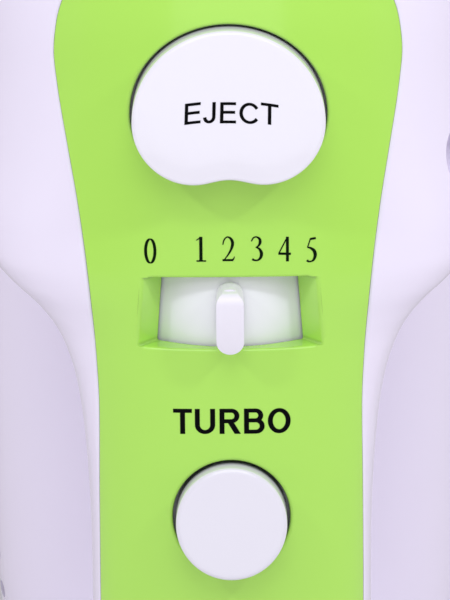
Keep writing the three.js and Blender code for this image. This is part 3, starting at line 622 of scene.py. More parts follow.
# ------------------------------------------------------------------ outlines in the control surface
@dataclass(frozen=True)
class Outline:
    """A closed outline in X and Z, running anticlockwise as +X is right and +Z is up."""

    points: tuple[Pair, ...]

    @staticmethod
    def resampled(points: Sequence[Pair], pitch: float) -> "Outline":
        """Space a closed run of points evenly.

        Args:
            points: The run, not repeating its first point.
            pitch: Millimetres between the new points.

        Returns:
            The evenly spaced outline.
        """
        run = np.array([*points, points[0]])
        at = np.concatenate([[0.0], np.cumsum(np.linalg.norm(np.diff(run, axis=0), axis=1))])
        count = max(int(round(at[-1] / pitch)), 8)
        where = np.linspace(0, at[-1], count, endpoint=False)
        xs, zs = np.interp(where, at, run[:, 0]), np.interp(where, at, run[:, 1])
        return Outline(tuple((float(x), float(z)) for x, z in zip(xs, zs)))

    @staticmethod
    def circle(radius: float, centre: Pair, steps: int) -> "Outline":
        """A round outline."""
        turn = spread(0, 2 * pi, steps)[:-1]
        return Outline(tuple((centre[0] + radius * cos(t), centre[1] + radius * sin(t)) for t in turn))

    @staticmethod
    def rounded(corners: Sequence[Pair], radius: float, steps: int) -> "Outline":
        """An outline through corners, each rounded off.

        Args:
            corners: Sharp corners, anticlockwise.
            radius: Radius of the rounding.
            steps: Points round each corner, less one.

        Returns:
            The rounded outline.
        """
        made: list[Pair] = []
        count = len(corners)
        for i in range(count):
            before, here, after = (Vector(corners[(i + k) % count]) for k in (-1, 0, 1))
            into, out = (here - before).normalized(), (after - here).normalized()
            turn = into.angle_signed(out)
            reach = radius * math.tan(abs(turn) / 2)
            hub = here - into * reach + Vector((-into.y, into.x)) * radius
            for t in spread(0, abs(turn), steps):
                spoke = Vector((into.y, -into.x)) * radius
                made.append((hub.x + spoke.x * cos(t) - spoke.y * sin(t),
                             hub.y + spoke.x * sin(t) + spoke.y * cos(t)))
        return Outline(tuple(made))

    def outward(self) -> list[Pair]:
        """The outward direction at each point."""
        count = len(self.points)
        ways = []
        for i in range(count):
            before, after = self.points[i - 1], self.points[(i + 1) % count]
            dx, dz = after[0] - before[0], after[1] - before[1]
            size = hypot(dx, dz) or 1.0
            ways.append((dz / size, -dx / size))
        return ways

    def grown(self, amount: float) -> "Outline":
        """The outline moved outwards."""
        moved = [(x + nx * amount, z + nz * amount) for (x, z), (nx, nz) in zip(self.points, self.outward())]
        return Outline(tuple(moved))

    def prism(self, name: str, low_y: float, high_y: float) -> Piece:
        """The outline as a solid between two heights."""
        ring = [(x, z) for x, z in self.points]
        return loft(name, [[(x, low_y, z) for x, z in ring], [(x, high_y, z) for x, z in ring]])

    def band(self, name: str, profile: Sequence[Pair], base: Callable[[float, float], float]
             ) -> Piece:
        """A closed band that follows the outline over a surface.

        Args:
            name: Object name.
            profile: (outward, below the surface) pairs of the band's closed section.
            base: Height of the surface at x, z.

        Returns:
            The band as a solid ring.
        """
        points: list[Point] = []
        for (x, z), (nx, nz) in zip(self.points, self.outward()):
            for out, deep in profile:
                px, pz = x + nx * out, z + nz * out
                points.append((px, base(px, pz) + deep, pz))
        sides, count = len(profile), len(self.points)
        faces = []
        for i in range(count):
            j = (i + 1) % count
            for k in range(sides):
                m = (k + 1) % sides
                faces.append((i * sides + k, i * sides + m, j * sides + m, j * sides + k))
        piece = from_faces(name, points, faces)
        face_out(piece)
        return piece


def hole_lip(grow: float, radius: float, depth: float, steps: int = 5, steepest: float = 90.0
             ) -> list[Pair]:
    """Section of a cutter that rounds the edge of a hole in a surface.

    Args:
        grow: How far outside the outline the hole's wall is.
        radius: Radius of the rounded edge.
        depth: How deep the cutter goes.
        steps: Steps in the rounding.
        steepest: Slope of the rounding where it meets the wall, in degrees.

    Returns:
        (outward, below the surface) pairs.
    """
    first = radians(90 - steepest)
    arc = [(grow + radius * (cos(first) - cos(a)), radius * (1 - sin(a)))
           for a in spread(first, radians(84), steps)]
    return [(grow - 0.6, -2.0), (grow - 0.6, depth), (grow, depth), *arc, (arc[-1][0] + 0.5, -2.0)]


def edge_round(radius: float, steps: int = 5) -> list[Pair]:
    """Section of a cutter that rounds the outer edge of a plate."""
    arc = [(-radius + radius * sin(a), radius * (1 - cos(a)))
           for a in spread(radians(6), pi / 2, steps)]
    return [(-radius, -1.5), *arc, (0.001, radius), (1.2, radius), (1.2, -1.5)]


PANEL_SIDE = smooth_curve([
    (34, 0.6), (34.7, 6), (36.5, 11), (40, 15.5), (46, 18.4), (54, 19.4), (78, 19.6), (94, 19.5),
    (109, 19.3), (117, 19.6), (125, 20.2), (132, 20.9), (140, 22), (147, 23.2), (157, 24.8), (161.3, 25.2),
    (166, 24.7), (170, 23.4), (176, 20.4), (182, 15.6), (186.5, 10), (189, 5), (190, 0.6)])


def panel_outline(pitch: float) -> Outline:
    """Outline of the inlaid panel."""
    heights = [*spread(34, 40, 60), *spread(40, 180, 140)[1:], *spread(180, 190, 100)[1:]]
    right = [(PANEL_SIDE(z), z) for z in heights]
    left = [(-x, z) for x, z in reversed(right)]
    return Outline.resampled([*right, *left], pitch)


@dataclass(frozen=True)
class Kidney:
    """Outline of the eject button: half an ellipse over two lobes with a notch between them."""

    half: float = 13.85
    high: float = 12.95
    lobe: float = 5.0
    middle: float = 153.2
    foot: float = 144.3
    notch: float = 0.7

    def outline(self, pitch: float) -> Outline:
        """The outline with evenly spaced points."""
        turn = spread(0, pi / 2, 24)
        top = [(self.half * sin(t), self.middle + self.high * cos(t)) for t in turn]
        lobe = [(self.lobe + (self.half - self.lobe) * cos(t),
                 self.middle - (self.middle - self.foot) * sin(t)) for t in turn[1:]]
        notch = [(x, self.foot + self.notch * (1 + cos(pi * x / self.lobe)) / 2)
                 for x in spread(self.lobe, 0, 12)[1:]]
        right = [*top, *lobe, *notch]
        left = [(-x, z) for x, z in right]
        return Outline.resampled([*left[:-1], *reversed(right[1:])], pitch)


KIDNEY = Kidney()


def surface_slab(name: str, low: Pair, high: Pair, pitch: Pair,
                 above: float, depth: float) -> Piece:
    """A slab that follows the top surface.

    Args:
        name: Object name.
        low: Lowest X and Z.
        high: Highest X and Z.
        pitch: Millimetres between its points across and along.
        above: How far its top is above the surface.
        depth: How far its bottom is below the surface.

    Returns:
        The slab.
    """
    across = spread(low[0], high[0], int((high[0] - low[0]) / pitch[0]))
    along = spread(low[1], high[1], int((high[1] - low[1]) / pitch[1]))
    points: list[Point] = []
    for z in along:
        points += [(x, FORM.surface_y(x, z) - above, z) for x in across]
    count = len(points)
    points += [(x, y + above + depth, z) for x, y, z in points[:count]]
    wide, tall = len(across), len(along)
    faces: list[Sequence[int]] = []
    for r in range(tall - 1):
        for c in range(wide - 1):
            a = r * wide + c
            faces.append((a, a + 1, a + wide + 1, a + wide))
            faces.append((count + a, count + a + wide, count + a + wide + 1, count + a + 1))
    rim = [*range(wide - 1), *(r * wide + wide - 1 for r in range(tall - 1)),
           *((tall - 1) * wide + c for c in range(wide - 1, 0, -1)),
           *(r * wide for r in range(tall - 1, 0, -1))]
    for i, a in enumerate(rim):
        b = rim[(i + 1) % len(rim)]
        faces.append((b, a, count + a, count + b))
    slab = from_faces(name, points, faces)
    face_out(slab)
    return slab


# ------------------------------------------------------------------ housings
@dataclass
class Housing:
    """The two moulded side housings that meet on the centre plane."""

    seam: float = 0.15
    voxel: float = 0.85
    lip: float = 1.3
    lip_slope: float = 36.0
    panel_gap: float = 0.04
    panel_thickness: float = 2.2
    plinth_radius: float = 15.4
    socket_radius: float = 13.1
    screws: tuple[Pair, ...] = (
        (-46, 147.3), (-22, 182), (-30, 20), (55, 17), (57, 126.5), (-54.5, 62))
    lead_in: Point = (3.5, 7.4, 4.6)
    lead_in_at: Point = (35.2, -54.9, 143.8)
    post_radius: float = 4.2
    well_radius: float = 3.3
    hole_radius: float = 1.6
    lead_in_turn: float = -34.0
    inlet_z: float = 19.0
    inlet_radius: float = 5.3
    side_vents: tuple[float, float, Pair, float] = (31, 59, (18, 42), 1.4)
    belly_vents: tuple[float, float, Pair, float] = (-20, 20, (96, 116), 1.6)
    pad_seats: tuple[tuple[float, float, float, float], ...] = ((-44.4, 40, 10.4, 8), (11.6, 50.4, 19.4, 9))
    pad_depth: float = 3.3
    drum_bore: tuple[Point, Point] = ((-15.8, -80, 115.9), (15.8, -58, 132.3))
    turbo: Pair = (8.1, 92.85)
    parts: list[Piece] = field(default_factory=list)

    def build(self) -> list[Piece]:
        """Make both housings, dressed and in place."""
        skin = self._skin()
        self._hollow_out(skin)
        self._cut_openings(skin)
        for name, side, node in (("left_housing", -1, "left_shell"), ("right_housing", 1, "right_shell")):
            half = duplicate(skin, name)
            box = block("half_space", (min(0, side * 90), -110, -20), (max(0, side * 90), 130, 230))
            box.data.transform(Matrix.Translation((side * self.seam * MM, 0, 0)))
            combine(half, box, Combine.KEEP)
            if side > 0:
                self._sink_screws(half)
            smooth_shade(half, 35)
            apply_modifier(half, "WEIGHTED_NORMAL", keep_sharp=True, weight=50)
            hand_over(half, HOUSING_WHITE, "root", "shell_white", node)
            self.parts.append(half)
        bpy.data.objects.remove(skin)
        return self.parts

    def _heights(self) -> list[float]:
        """Heights of the sections, closer together at the heel and the nose."""
        return [*spread(FORM.heel_z, 14, 16), *spread(14, 96, 30)[1:], *spread(96, 150, 45)[1:],
                *spread(150, 196, 60)[1:], *spread(196, 200.3, 16)[1:]]

    def _skin(self) -> Piece:
        """The outside, with its creases softened as a moulding has them."""
        heights = self._heights()
        arch = loft("skin", [FORM.arch_ring(z, 0, 0, 72) for z in heights])
        combine(arch, FORM.finger_gap(0, 10, 10), Combine.CUT)
        combine(arch, loft("motor_housing", [FORM.body_ring(z, 0, 88) for z in heights]), Combine.JOIN)
        combine(arch, self._stadium(self.plinth_radius).prism("plinth", 44, 68), Combine.JOIN)
        apply_modifier(arch, "REMESH", mode="VOXEL", voxel_size=self.voxel * MM, use_smooth_shade=True)
        apply_modifier(arch, "SMOOTH", factor=0.5, iterations=9)
        self._seat_on_form(arch)
        return arch

    @staticmethod
    def _seat_on_form(skin: Piece) -> None:
        """Put the points of the control surface exactly on the form."""
        count = len(skin.data.vertices)
        places = np.empty(count * 3)
        skin.data.vertices.foreach_get("co", places)
        places = places.reshape(-1, 3)
        near = np.flatnonzero((places[:, 1] < -0.045) & (places[:, 2] > 0.016) & (places[:, 2] < 0.192))
        for i in near:
            x, y, z = places[i] / MM
            if abs(x) > 0.93 * FORM.half_x(z):
                continue
            right = FORM.surface_y(x, z)
            if abs(right - y) < 0.8:
                places[i, 1] = right * MM
        skin.data.vertices.foreach_set("co", places.ravel())
        skin.data.update()

    @staticmethod
    def _stadium(radius: float, steps: int = 24) -> Outline:
        """An outline round both spindles."""
        x, z = FORM.spindle
        right = [(x + radius * cos(t), z + radius * sin(t))
                 for t in spread(-pi / 2, pi / 2, steps)]
        left = [(-x + radius * cos(t), z + radius * sin(t))
                for t in spread(pi / 2, 1.5 * pi, steps)]
        return Outline((*right, *left))

    def _hollow_out(self, skin: Piece) -> None:
        """Leave a moulded wall, with the posts that take the screws."""
        solid = duplicate(skin, "posts")
        heights = [6, 12, 26, 40, 68, 96, 105, 114, 122, 130, 139, 148, 157, 166, 172, 178, 183, 187, 190,
                   193.5, 195.5]
        arch = loft("inside", [FORM.arch_ring(z, FORM.wall, 4.9, 24) for z in heights])
        combine(arch, FORM.finger_gap(FORM.wall, 4, 4), Combine.CUT)
        combine(arch, loft("motor_room", [FORM.body_ring(z, FORM.wall, 32) for z in heights]), Combine.JOIN)
        combine(skin, arch, Combine.CUT)
        bars = []
        for y, z in self.screws:
            bpy.ops.mesh.primitive_cylinder_add(
                vertices=24, radius=self.post_radius * MM, depth=90 * MM, location=(0, y * MM, z * MM),
                rotation=(0, pi / 2, 0))
            bars.append(settle(bpy.context.object, "post"))
        combine(solid, join_pieces("post_bars", bars), Combine.KEEP)
        combine(skin, solid, Combine.JOIN)

    def _cut_openings(self, skin: Piece) -> None:
        """Cut the panel's seat, the bores under the controls, the vents and the seats of the trim."""
        outline = panel_outline(0.7)
        seat = surface_slab("panel_seat", (-30, 30), (30, 194), (1.2, 1.6), 3, self.panel_thickness + 0.3)
        combine(seat, outline.grown(self.panel_gap).prism("seat_edge", -95, -30), Combine.KEEP)
        combine(skin, seat, Combine.CUT)
        section = hole_lip(self.panel_gap, self.lip, self.panel_thickness, 5, self.lip_slope)
        lip = outline.band("panel_lip", section, FORM.surface_y)
        combine(skin, lip, Combine.CUT)
        combine(skin, KIDNEY.outline(0.8).grown(1.6).prism("eject_bore", -90, -50), Combine.CUT)
        combine(skin, block("drum_bore", *self.drum_bore), Combine.CUT)
        radius, z = self.turbo
        combine(skin, drum("turbo_bore", radius + 2.4, (-90, -58), (0, z), Axis.Y), Combine.CUT)
        combine(skin, drum("inlet_bore", self.inlet_radius, (-80, -50), (0, self.inlet_z), Axis.Y), Combine.CUT)
        for low, high, wide, corner in self.pad_seats:
            corners = [(-wide, low), (wide, low), (wide, high), (-wide, high)]
            ring = Outline.rounded(corners, corner, 8).points
            seat = loft("pad_seat", [[(x, y, z) for x, y in ring] for z in (-1, self.pad_depth)])
            combine(skin, seat, Combine.CUT)
        combine(skin, self._stadium(self.socket_radius).prism("socket_seat", 65.4, 70), Combine.CUT)
        combine(skin, self._stadium(9).prism("socket_bore", 58, 70), Combine.CUT)
        combine(skin, self._vents(), Combine.CUT)

    def _vents(self) -> Piece:
        """Cooling slots with round ends, through both sides and underneath."""
        slots = []
        for (first, last, ends, half), way in ((self.side_vents, Axis.X), (self.belly_vents, Axis.Y)):
            slots += [self._slot(ends, at, half, way) for at in spread(first, last, 4)]
        return join_pieces("vents", slots)

    @staticmethod
    def _slot(ends: Pair, at: float, half: float, way: Axis) -> Piece:
        """One slot cutter with round ends.

        Args:
            ends: Where the slot starts and stops.
            at: Its place across.
            half: Half its width.
            way: X through the sides, Y through the underside.

        Returns:
            The cutter.
        """
        ring = []
        for end, first in ((ends[1] - half, -pi / 2), (ends[0] + half, pi / 2)):
            ring += [(end + half * cos(t), at + half * sin(t)) for t in spread(first, first + pi, 8)]
        if way is Axis.X:
            return loft("slot", [[(x, y, z) for y, z in ring] for x in (-60, 60)])
        return loft("slot", [[(x, y, z) for z, x in ring] for y in (55, 75)])

    def _sink_screws(self, half: Piece) -> None:
        """Open the wells over the screws in the right housing."""
        for y, z in self.screws:
            for radius, low, high in ((self.well_radius, 9, 60), (self.hole_radius, -1, 12)):
                deselect_all()
                bpy.ops.mesh.primitive_cylinder_add(
                    vertices=32, radius=radius * MM, depth=(high - low) * MM,
                    location=((low + high) / 2 * MM, y * MM, z * MM), rotation=(0, pi / 2, 0))
                combine(half, settle(bpy.context.object, "well"), Combine.CUT)
        deselect_all()
        bpy.ops.mesh.primitive_uv_sphere_add(segments=48, ring_count=24, radius=MM)
        bpy.ops.transform.resize(value=self.lead_in)
        bpy.ops.transform.rotate(value=radians(self.lead_in_turn), orient_axis="Z", center_override=(0, 0, 0))
        bpy.ops.transform.translate(value=[v * MM for v in self.lead_in_at])
        combine(half, settle(bpy.context.object, "well_lead_in"), Combine.CUT)


# ------------------------------------------------------------------ the inlaid panel
@dataclass
class TopPanel:
    """The glossy panel let into the top of the handle, with its wells for the controls."""

    thickness: float = 2.2
    edge: float = 0.2
    pocket_grow: float = 0.32
    turbo_radius: float = 8.62
    turbo_z: float = 92.95
    rim: float = 0.55
    collar: float = 1.0
    window: Pair = (118.85, 129.3)
    window_halves: Pair = (13.5, 12.65)
    window_slope: float = 0.79
    window_round: float = 0.9
    window_bow: float = 0.25
    pocket_floor: float = -64.15
    bore_floor: float = -65.4
    drum_centre_y: float = -48.4
    drum_radius: float = 18.9
    drum_box: tuple[Point, Point] = ((-15.4, -66.6, 117.2), (15.4, -61.6, 131))

    def build(self) -> Piece:
        """Make the panel, dressed and in place."""
        outline = panel_outline(0.6)
        panel = surface_slab("control_panel", (-27, 33), (27, 191), (0.75, 0.75), 0, self.thickness)
        combine(panel, outline.prism("panel_edge", -95, -30), Combine.KEEP)
        self._add_drum_well(panel)
        combine(panel, outline.band("edge_round", edge_round(self.edge), FORM.surface_y), Combine.CUT)
        pocket = KIDNEY.outline(0.5).grown(self.pocket_grow)
        self._sink(panel, pocket, "eject_pocket", self.pocket_floor)
        ring = Outline.circle(self.turbo_radius, (0, self.turbo_z), 120)
        self._sink(panel, ring, "turbo_pocket", self.bore_floor)
        self._open_window(panel)
        smooth_shade(panel, 30)
        apply_modifier(panel, "WEIGHTED_NORMAL", keep_sharp=True, weight=60)
        hand_over(panel, PANEL_GREEN, "root", "panel_green", "top_panel")
        return panel

    def _add_drum_well(self, panel: Piece) -> None:
        """Add the box round the speed drum, open underneath."""
        combine(panel, block("drum_box", *self.drum_box), Combine.JOIN)
        space = drum("drum_space", self.drum_radius, (116, 132.2), (0, self.drum_centre_y), Axis.Z, 128)
        combine(panel, space, Combine.CUT)

    def _sink(self, panel: Piece, outline: Outline, name: str, floor: float) -> None:
        """Cut a pocket with a rounded rim and a collar that goes down to the button's flange."""
        collar = outline.grown(self.collar).prism(name + "_collar", -69.5, floor)
        combine(collar, surface_slab("over_collar", (-18, 80), (18, 171), (1, 1), 5, 1), Combine.CUT)
        combine(panel, collar, Combine.JOIN)
        combine(panel, outline.prism(name, -90, -50), Combine.CUT)
        lip = outline.band(name + "_rim", hole_lip(0.0, self.rim, self.thickness + 1), FORM.surface_y)
        combine(panel, lip, Combine.CUT)

    def _rear_side(self, half: float, drop: float) -> list[Pair]:
        """The window's rear side, which bows towards the handle at the rim and is straight at the drum."""
        bow = self.window_bow * min(max(1 - drop / 3, 0), 1)
        return [(x, self.window[0] + bow * ((x / half) ** 2 - 1)) for x in spread(-half, half, 12)]

    def _open_window(self, panel: Piece) -> None:
        """Cut the sloping window over the drum and round its rim."""
        rings = [self._window_ring(inward, drop) for inward, drop in self._window_side()]
        combine(panel, loft("window", rings), Combine.CUT)
        wide, narrow = (half - 1.0 for half in self.window_halves)
        front = self.window[1]
        rim = Outline.resampled([*self._rear_side(wide, 0), (narrow, front), (-narrow, front)], 0.5)
        combine(panel, rim.band("window_rim", hole_lip(0.0, 0.45, 0.8), FORM.surface_y), Combine.CUT)

    def _window_side(self) -> list[Pair]:
        """Section of the window's side wall: how far inwards and how far down from its rim, going up."""
        fall = math.atan2(1, self.window_slope)
        reach = self.window_round * math.tan(fall / 2)
        side = [(self.window_slope * 8.0, 8.0), (self.window_slope * 3.0, 3.0)]
        for turn in spread(fall, radians(3), 8):
            side.append((self.window_round * sin(turn) - reach, self.window_round * (1 - cos(turn))))
        return [*side, (side[-1][0] - 0.02, -4.0)]

    def _window_ring(self, inward: float, drop: float) -> Ring:
        """The window's outline at one depth."""
        rear, front = self.window
        wide, narrow = (half - inward for half in self.window_halves)
        ends = [FORM.surface_y(half, z) for half, z in zip(self.window_halves, self.window)]
        outline = Outline.rounded([*self._rear_side(wide, drop), (narrow, front), (-narrow, front)], 0.35, 4)
        fall = (ends[1] - ends[0]) / (front - rear)
        return [(x, ends[0] + fall * (z - rear) + drop, z) for x, z in outline.points]


# ------------------------------------------------------------------ controls
@dataclass(frozen=True)
class SlopedFace:
    """The face of a push button, which falls towards the nose."""

    degrees: float
    middle: Pair
    round_in: float
    round_down: float
    dome: float = 0.0
    shoulder: float = 0.0

    def height(self, z: float, s: float = 1.0) -> float:
        """Height of the face, where s is 1 at its rim and 0 in its middle."""
        y, middle = self.middle
        low_side = min(max((middle - z) / 8, 0), 1)
        slope = math.tan(radians(self.degrees)) * (z - middle)
        return y + slope - self.dome * (1 - s * s) + self.shoulder * low_side * s ** 6

    def cap(self, name: str, outline: Outline, foot: Sequence[Pair]) -> Piece:
        """The button's cap.

        Args:
            name: Object name.
            outline: The cap's outline in plan.
            foot: (outward, height) steps of the side below the cap, going up.

        Returns:
            The cap as one solid.
        """
        rings = [[(x, y, z) for x, z in outline.grown(out).points] for out, y in foot]
        for turn in spread(0, pi / 2, 8):
            inset = outline.grown(-self.round_in * (1 - cos(turn)))
            down = self.round_down * (1 - sin(turn))
            rings.append([(x, self.height(z) + down, z) for x, z in inset.points])
        last = outline.grown(-self.round_in)
        middle = self.middle[1]
        for s in (0.93, 0.84, 0.72, 0.58, 0.44, 0.3, 0.16, 0.05):
            places = [(x * s, middle + (z - middle) * s) for x, z in last.points]
            rings.append([(x, self.height(z, s), z) for x, z in places])
        return loft(name, rings)


@dataclass
class EjectButton:
    """The kidney-shaped button that lets the beaters go, with its stem."""

    face: SlopedFace = SlopedFace(9.0, (-72.8, 155.0), 0.6, 0.45, 0.12, 0.5)
    flange: tuple[Pair, ...] = ((1.2, -62.4), (1.2, -63.9), (0.0, -63.95))
    stem: tuple[Point, Point] = ((-4.6, -66, 153.6), (4.6, -3.3, 160.4))

    def build(self) -> Piece:
        """Make the button, dressed and in place."""
        cap = self.face.cap("eject_cap", KIDNEY.outline(0.4), self.flange)
        stem = block("stem", *self.stem)
        apply_modifier(stem, "BEVEL", width=0.8 * MM, segments=3)
        combine(cap, stem, Combine.JOIN)
        smooth_shade(cap, 40)
        hand_over(cap, EJECT_WHITE, "ejector", "shell_white", "eject_button")
        return cap


@dataclass
class TurboButton:
    """The round button for a burst of full speed, with its plunger."""

    z: float = 92.95
    radius: float = 8.15
    face: SlopedFace = SlopedFace(10.0, (-72.4, 92.95), 0.7, 0.5)
    side: tuple[Pair, ...] = (
        (2.1, -55.0), (2.4, -55.3), (2.4, -62.0), (6.8, -62.0), (6.8, -64.2), (9.7, -64.2), (9.7, -65.15))

    def build(self) -> Piece:
        """Make the button, dressed and in place."""
        foot = [(radius - self.radius, y) for radius, y in (*self.side, (self.radius, -65.2))]
        button = self.face.cap("turbo_cap", Outline.circle(self.radius, (0, self.z), 120), foot)
        smooth_shade(button, 35)
        hand_over(button, CONTROL_WHITE, "turbo", "shell_white", "turbo_button")
        return button


@dataclass
class SpeedSelector:
    """The drum behind the window and the pill-shaped knob on it."""

    centre_y: float = -48.4
    radius: float = 18.5
    wall: float = 2.0
    web: float = 1.6
    axle_radius: float = 3.2
    axle_ends: Pair = (114.0, 138.0)
    half_angle: float = 57.0
    ends: Pair = (116.4, 131.8)
    knob_half: float = 2.0
    knob_ends: Pair = (118.85, 128.3)
    knob_top: float = -73.5
    knob_neck: float = -70.6
    knob_foot_start: float = 119.4
    knob_edge: float = 0.55
    knob_seat: tuple[Point, Point] = ((-1.3, -78, 121.6), (1.3, -58, 126.4))
    running_gap: float = 0.3

    def build(self) -> list[Piece]:
        """Make the drum and the knob, dressed and in place."""
        return [self._drum(), self._knob()]

    def _sector(self, inner: float, outer: float, low: float, high: float, steps: int = 72) -> Piece:
        """Part of a ring about the drum's axis."""
        angles = [radians(-90 + a) for a in spread(-self.half_angle, self.half_angle, steps)]
        ring = [(outer * cos(a), self.centre_y + outer * sin(a)) for a in angles]
        ring += [(inner * cos(a), self.centre_y + inner * sin(a)) for a in reversed(angles)]
        return loft("sector", [[(x, y, low) for x, y in ring], [(x, y, high) for x, y in ring]])

    def _drum(self) -> Piece:
        """The drum, with its two webs and its axle."""
        low, high = self.ends
        body = self._sector(self.radius - self.wall, self.radius, low, high)
        for start in (low, high - self.web):
            combine(body, self._sector(2.0, self.radius - 1, start, start + self.web, 24), Combine.JOIN)
        axle = drum("axle", self.axle_radius, self.axle_ends, (0, self.centre_y), Axis.Z, 48)
        combine(body, axle, Combine.JOIN)
        combine(body, block("knob_seat", *self.knob_seat), Combine.CUT)
        body.name = body.data.name = "selector_drum"
        apply_modifier(body, "BEVEL", width=0.15 * MM, segments=2, limit_method="ANGLE", angle_limit=0.9)
        smooth_shade(body, 35)
        hand_over(body, DRUM_WHITE, "selector", "shell_white", "speed_drum")
        return body

    def _pill(self, low: float) -> Outline:
        """The knob's outline, from its rear end to its front end."""
        high, half = self.knob_ends[1], self.knob_half
        ring = [(half * cos(t), high - half + half * sin(t)) for t in spread(0, pi, 24)]
        ring += [(half * cos(t), low + half + half * sin(t)) for t in spread(pi, 2 * pi, 24)]
        return Outline(tuple(ring))

    def _crown(self) -> Piece:
        """All that is under the knob's face, which is highest near its front end."""
        low, high = self.knob_ends
        nose = [(self.knob_top + 1.5 * (1 - sin(t)), high - 1.9 + 1.65 * cos(t))
                for t in spread(0, pi / 2, 12)]
        top = [(self.knob_top + (z - high + 1.9) ** 2 / 60, z) for z in spread(high - 2.2, low - 1, 30)]
        profile = [(-60.0, high + 0.1), *nose, *top, (-60.0, low - 1)]
        return loft("crown", [[(x, y, z) for y, z in profile] for x in (-4, 4)])

    def _knob(self) -> Piece:
        """The pill-shaped knob with its peg."""
        foot, neck = self.centre_y - self.radius - self.running_gap, self.knob_neck
        knob = self._pill(self.knob_ends[0]).prism("selector_knob", -76, neck)
        combine(knob, self._crown(), Combine.KEEP)
        apply_modifier(knob, "BEVEL", width=self.knob_edge * MM, segments=5,
                       limit_method="ANGLE", angle_limit=0.7)
        combine(knob, self._pill(self.knob_foot_start).prism("knob_foot", neck - 0.7, foot), Combine.JOIN)
        peg_y = self.centre_y - self.radius
        combine(knob, block("peg", (-1, peg_y - 0.5, 121.9), (1, peg_y + 3.4, 126.1)), Combine.JOIN)
        smooth_shade(knob, 40)
        apply_modifier(knob, "WEIGHTED_NORMAL", keep_sharp=True, weight=60)
        hand_over(knob, KNOB_WHITE, "selector", "shell_white", "speed_knob")
        return knob


# ------------------------------------------------------------------ lettering
@dataclass(frozen=True)
class Stroke:
    """One stroke of a pen.

    Attributes:
        points: (x, z, width) along it; a width of 0 follows the stroke's direction.
        closed: Whether it ends where it starts.
        flat: Whether its ends are cut level, with its widths measured along X.
    """

    points: tuple[Point, ...]
    closed: bool = False
    flat: bool = False


def arc(centre: Pair, radii: Pair, start: float, end: float,
        steps: int = 14) -> list[Pair]:
    """Part of an ellipse, with angles in degrees from +X towards +Z."""
    return [(centre[0] + radii[0] * cos(radians(a)), centre[1] + radii[1] * sin(radians(a)))
            for a in spread(start, end, steps)]


def line(*points: Pair, width: float = 0.0, closed: bool = False, flat: bool = False) -> Stroke:
    """A stroke through points, of one width."""
    return Stroke(tuple((x, z, width) for x, z in points), closed, flat)


def swell(*points: Point) -> Stroke:
    """A smooth stroke through (x, z, width) points."""
    knots = [np.array(p) for p in (points[0], *points, points[-1])]
    made = []
    for a, b, c, d in zip(knots, knots[1:], knots[2:], knots[3:]):
        for t in spread(0, 1, 7)[:-1]:
            made.append(0.5 * (2 * b + (c - a) * t + (2 * a - 5 * b + 4 * c - d) * t ** 2
                               + (3 * b - a - 3 * c + d) * t ** 3))
    return Stroke(tuple((float(x), float(z), float(w)) for x, z, w in [*made, knots[-1]]))


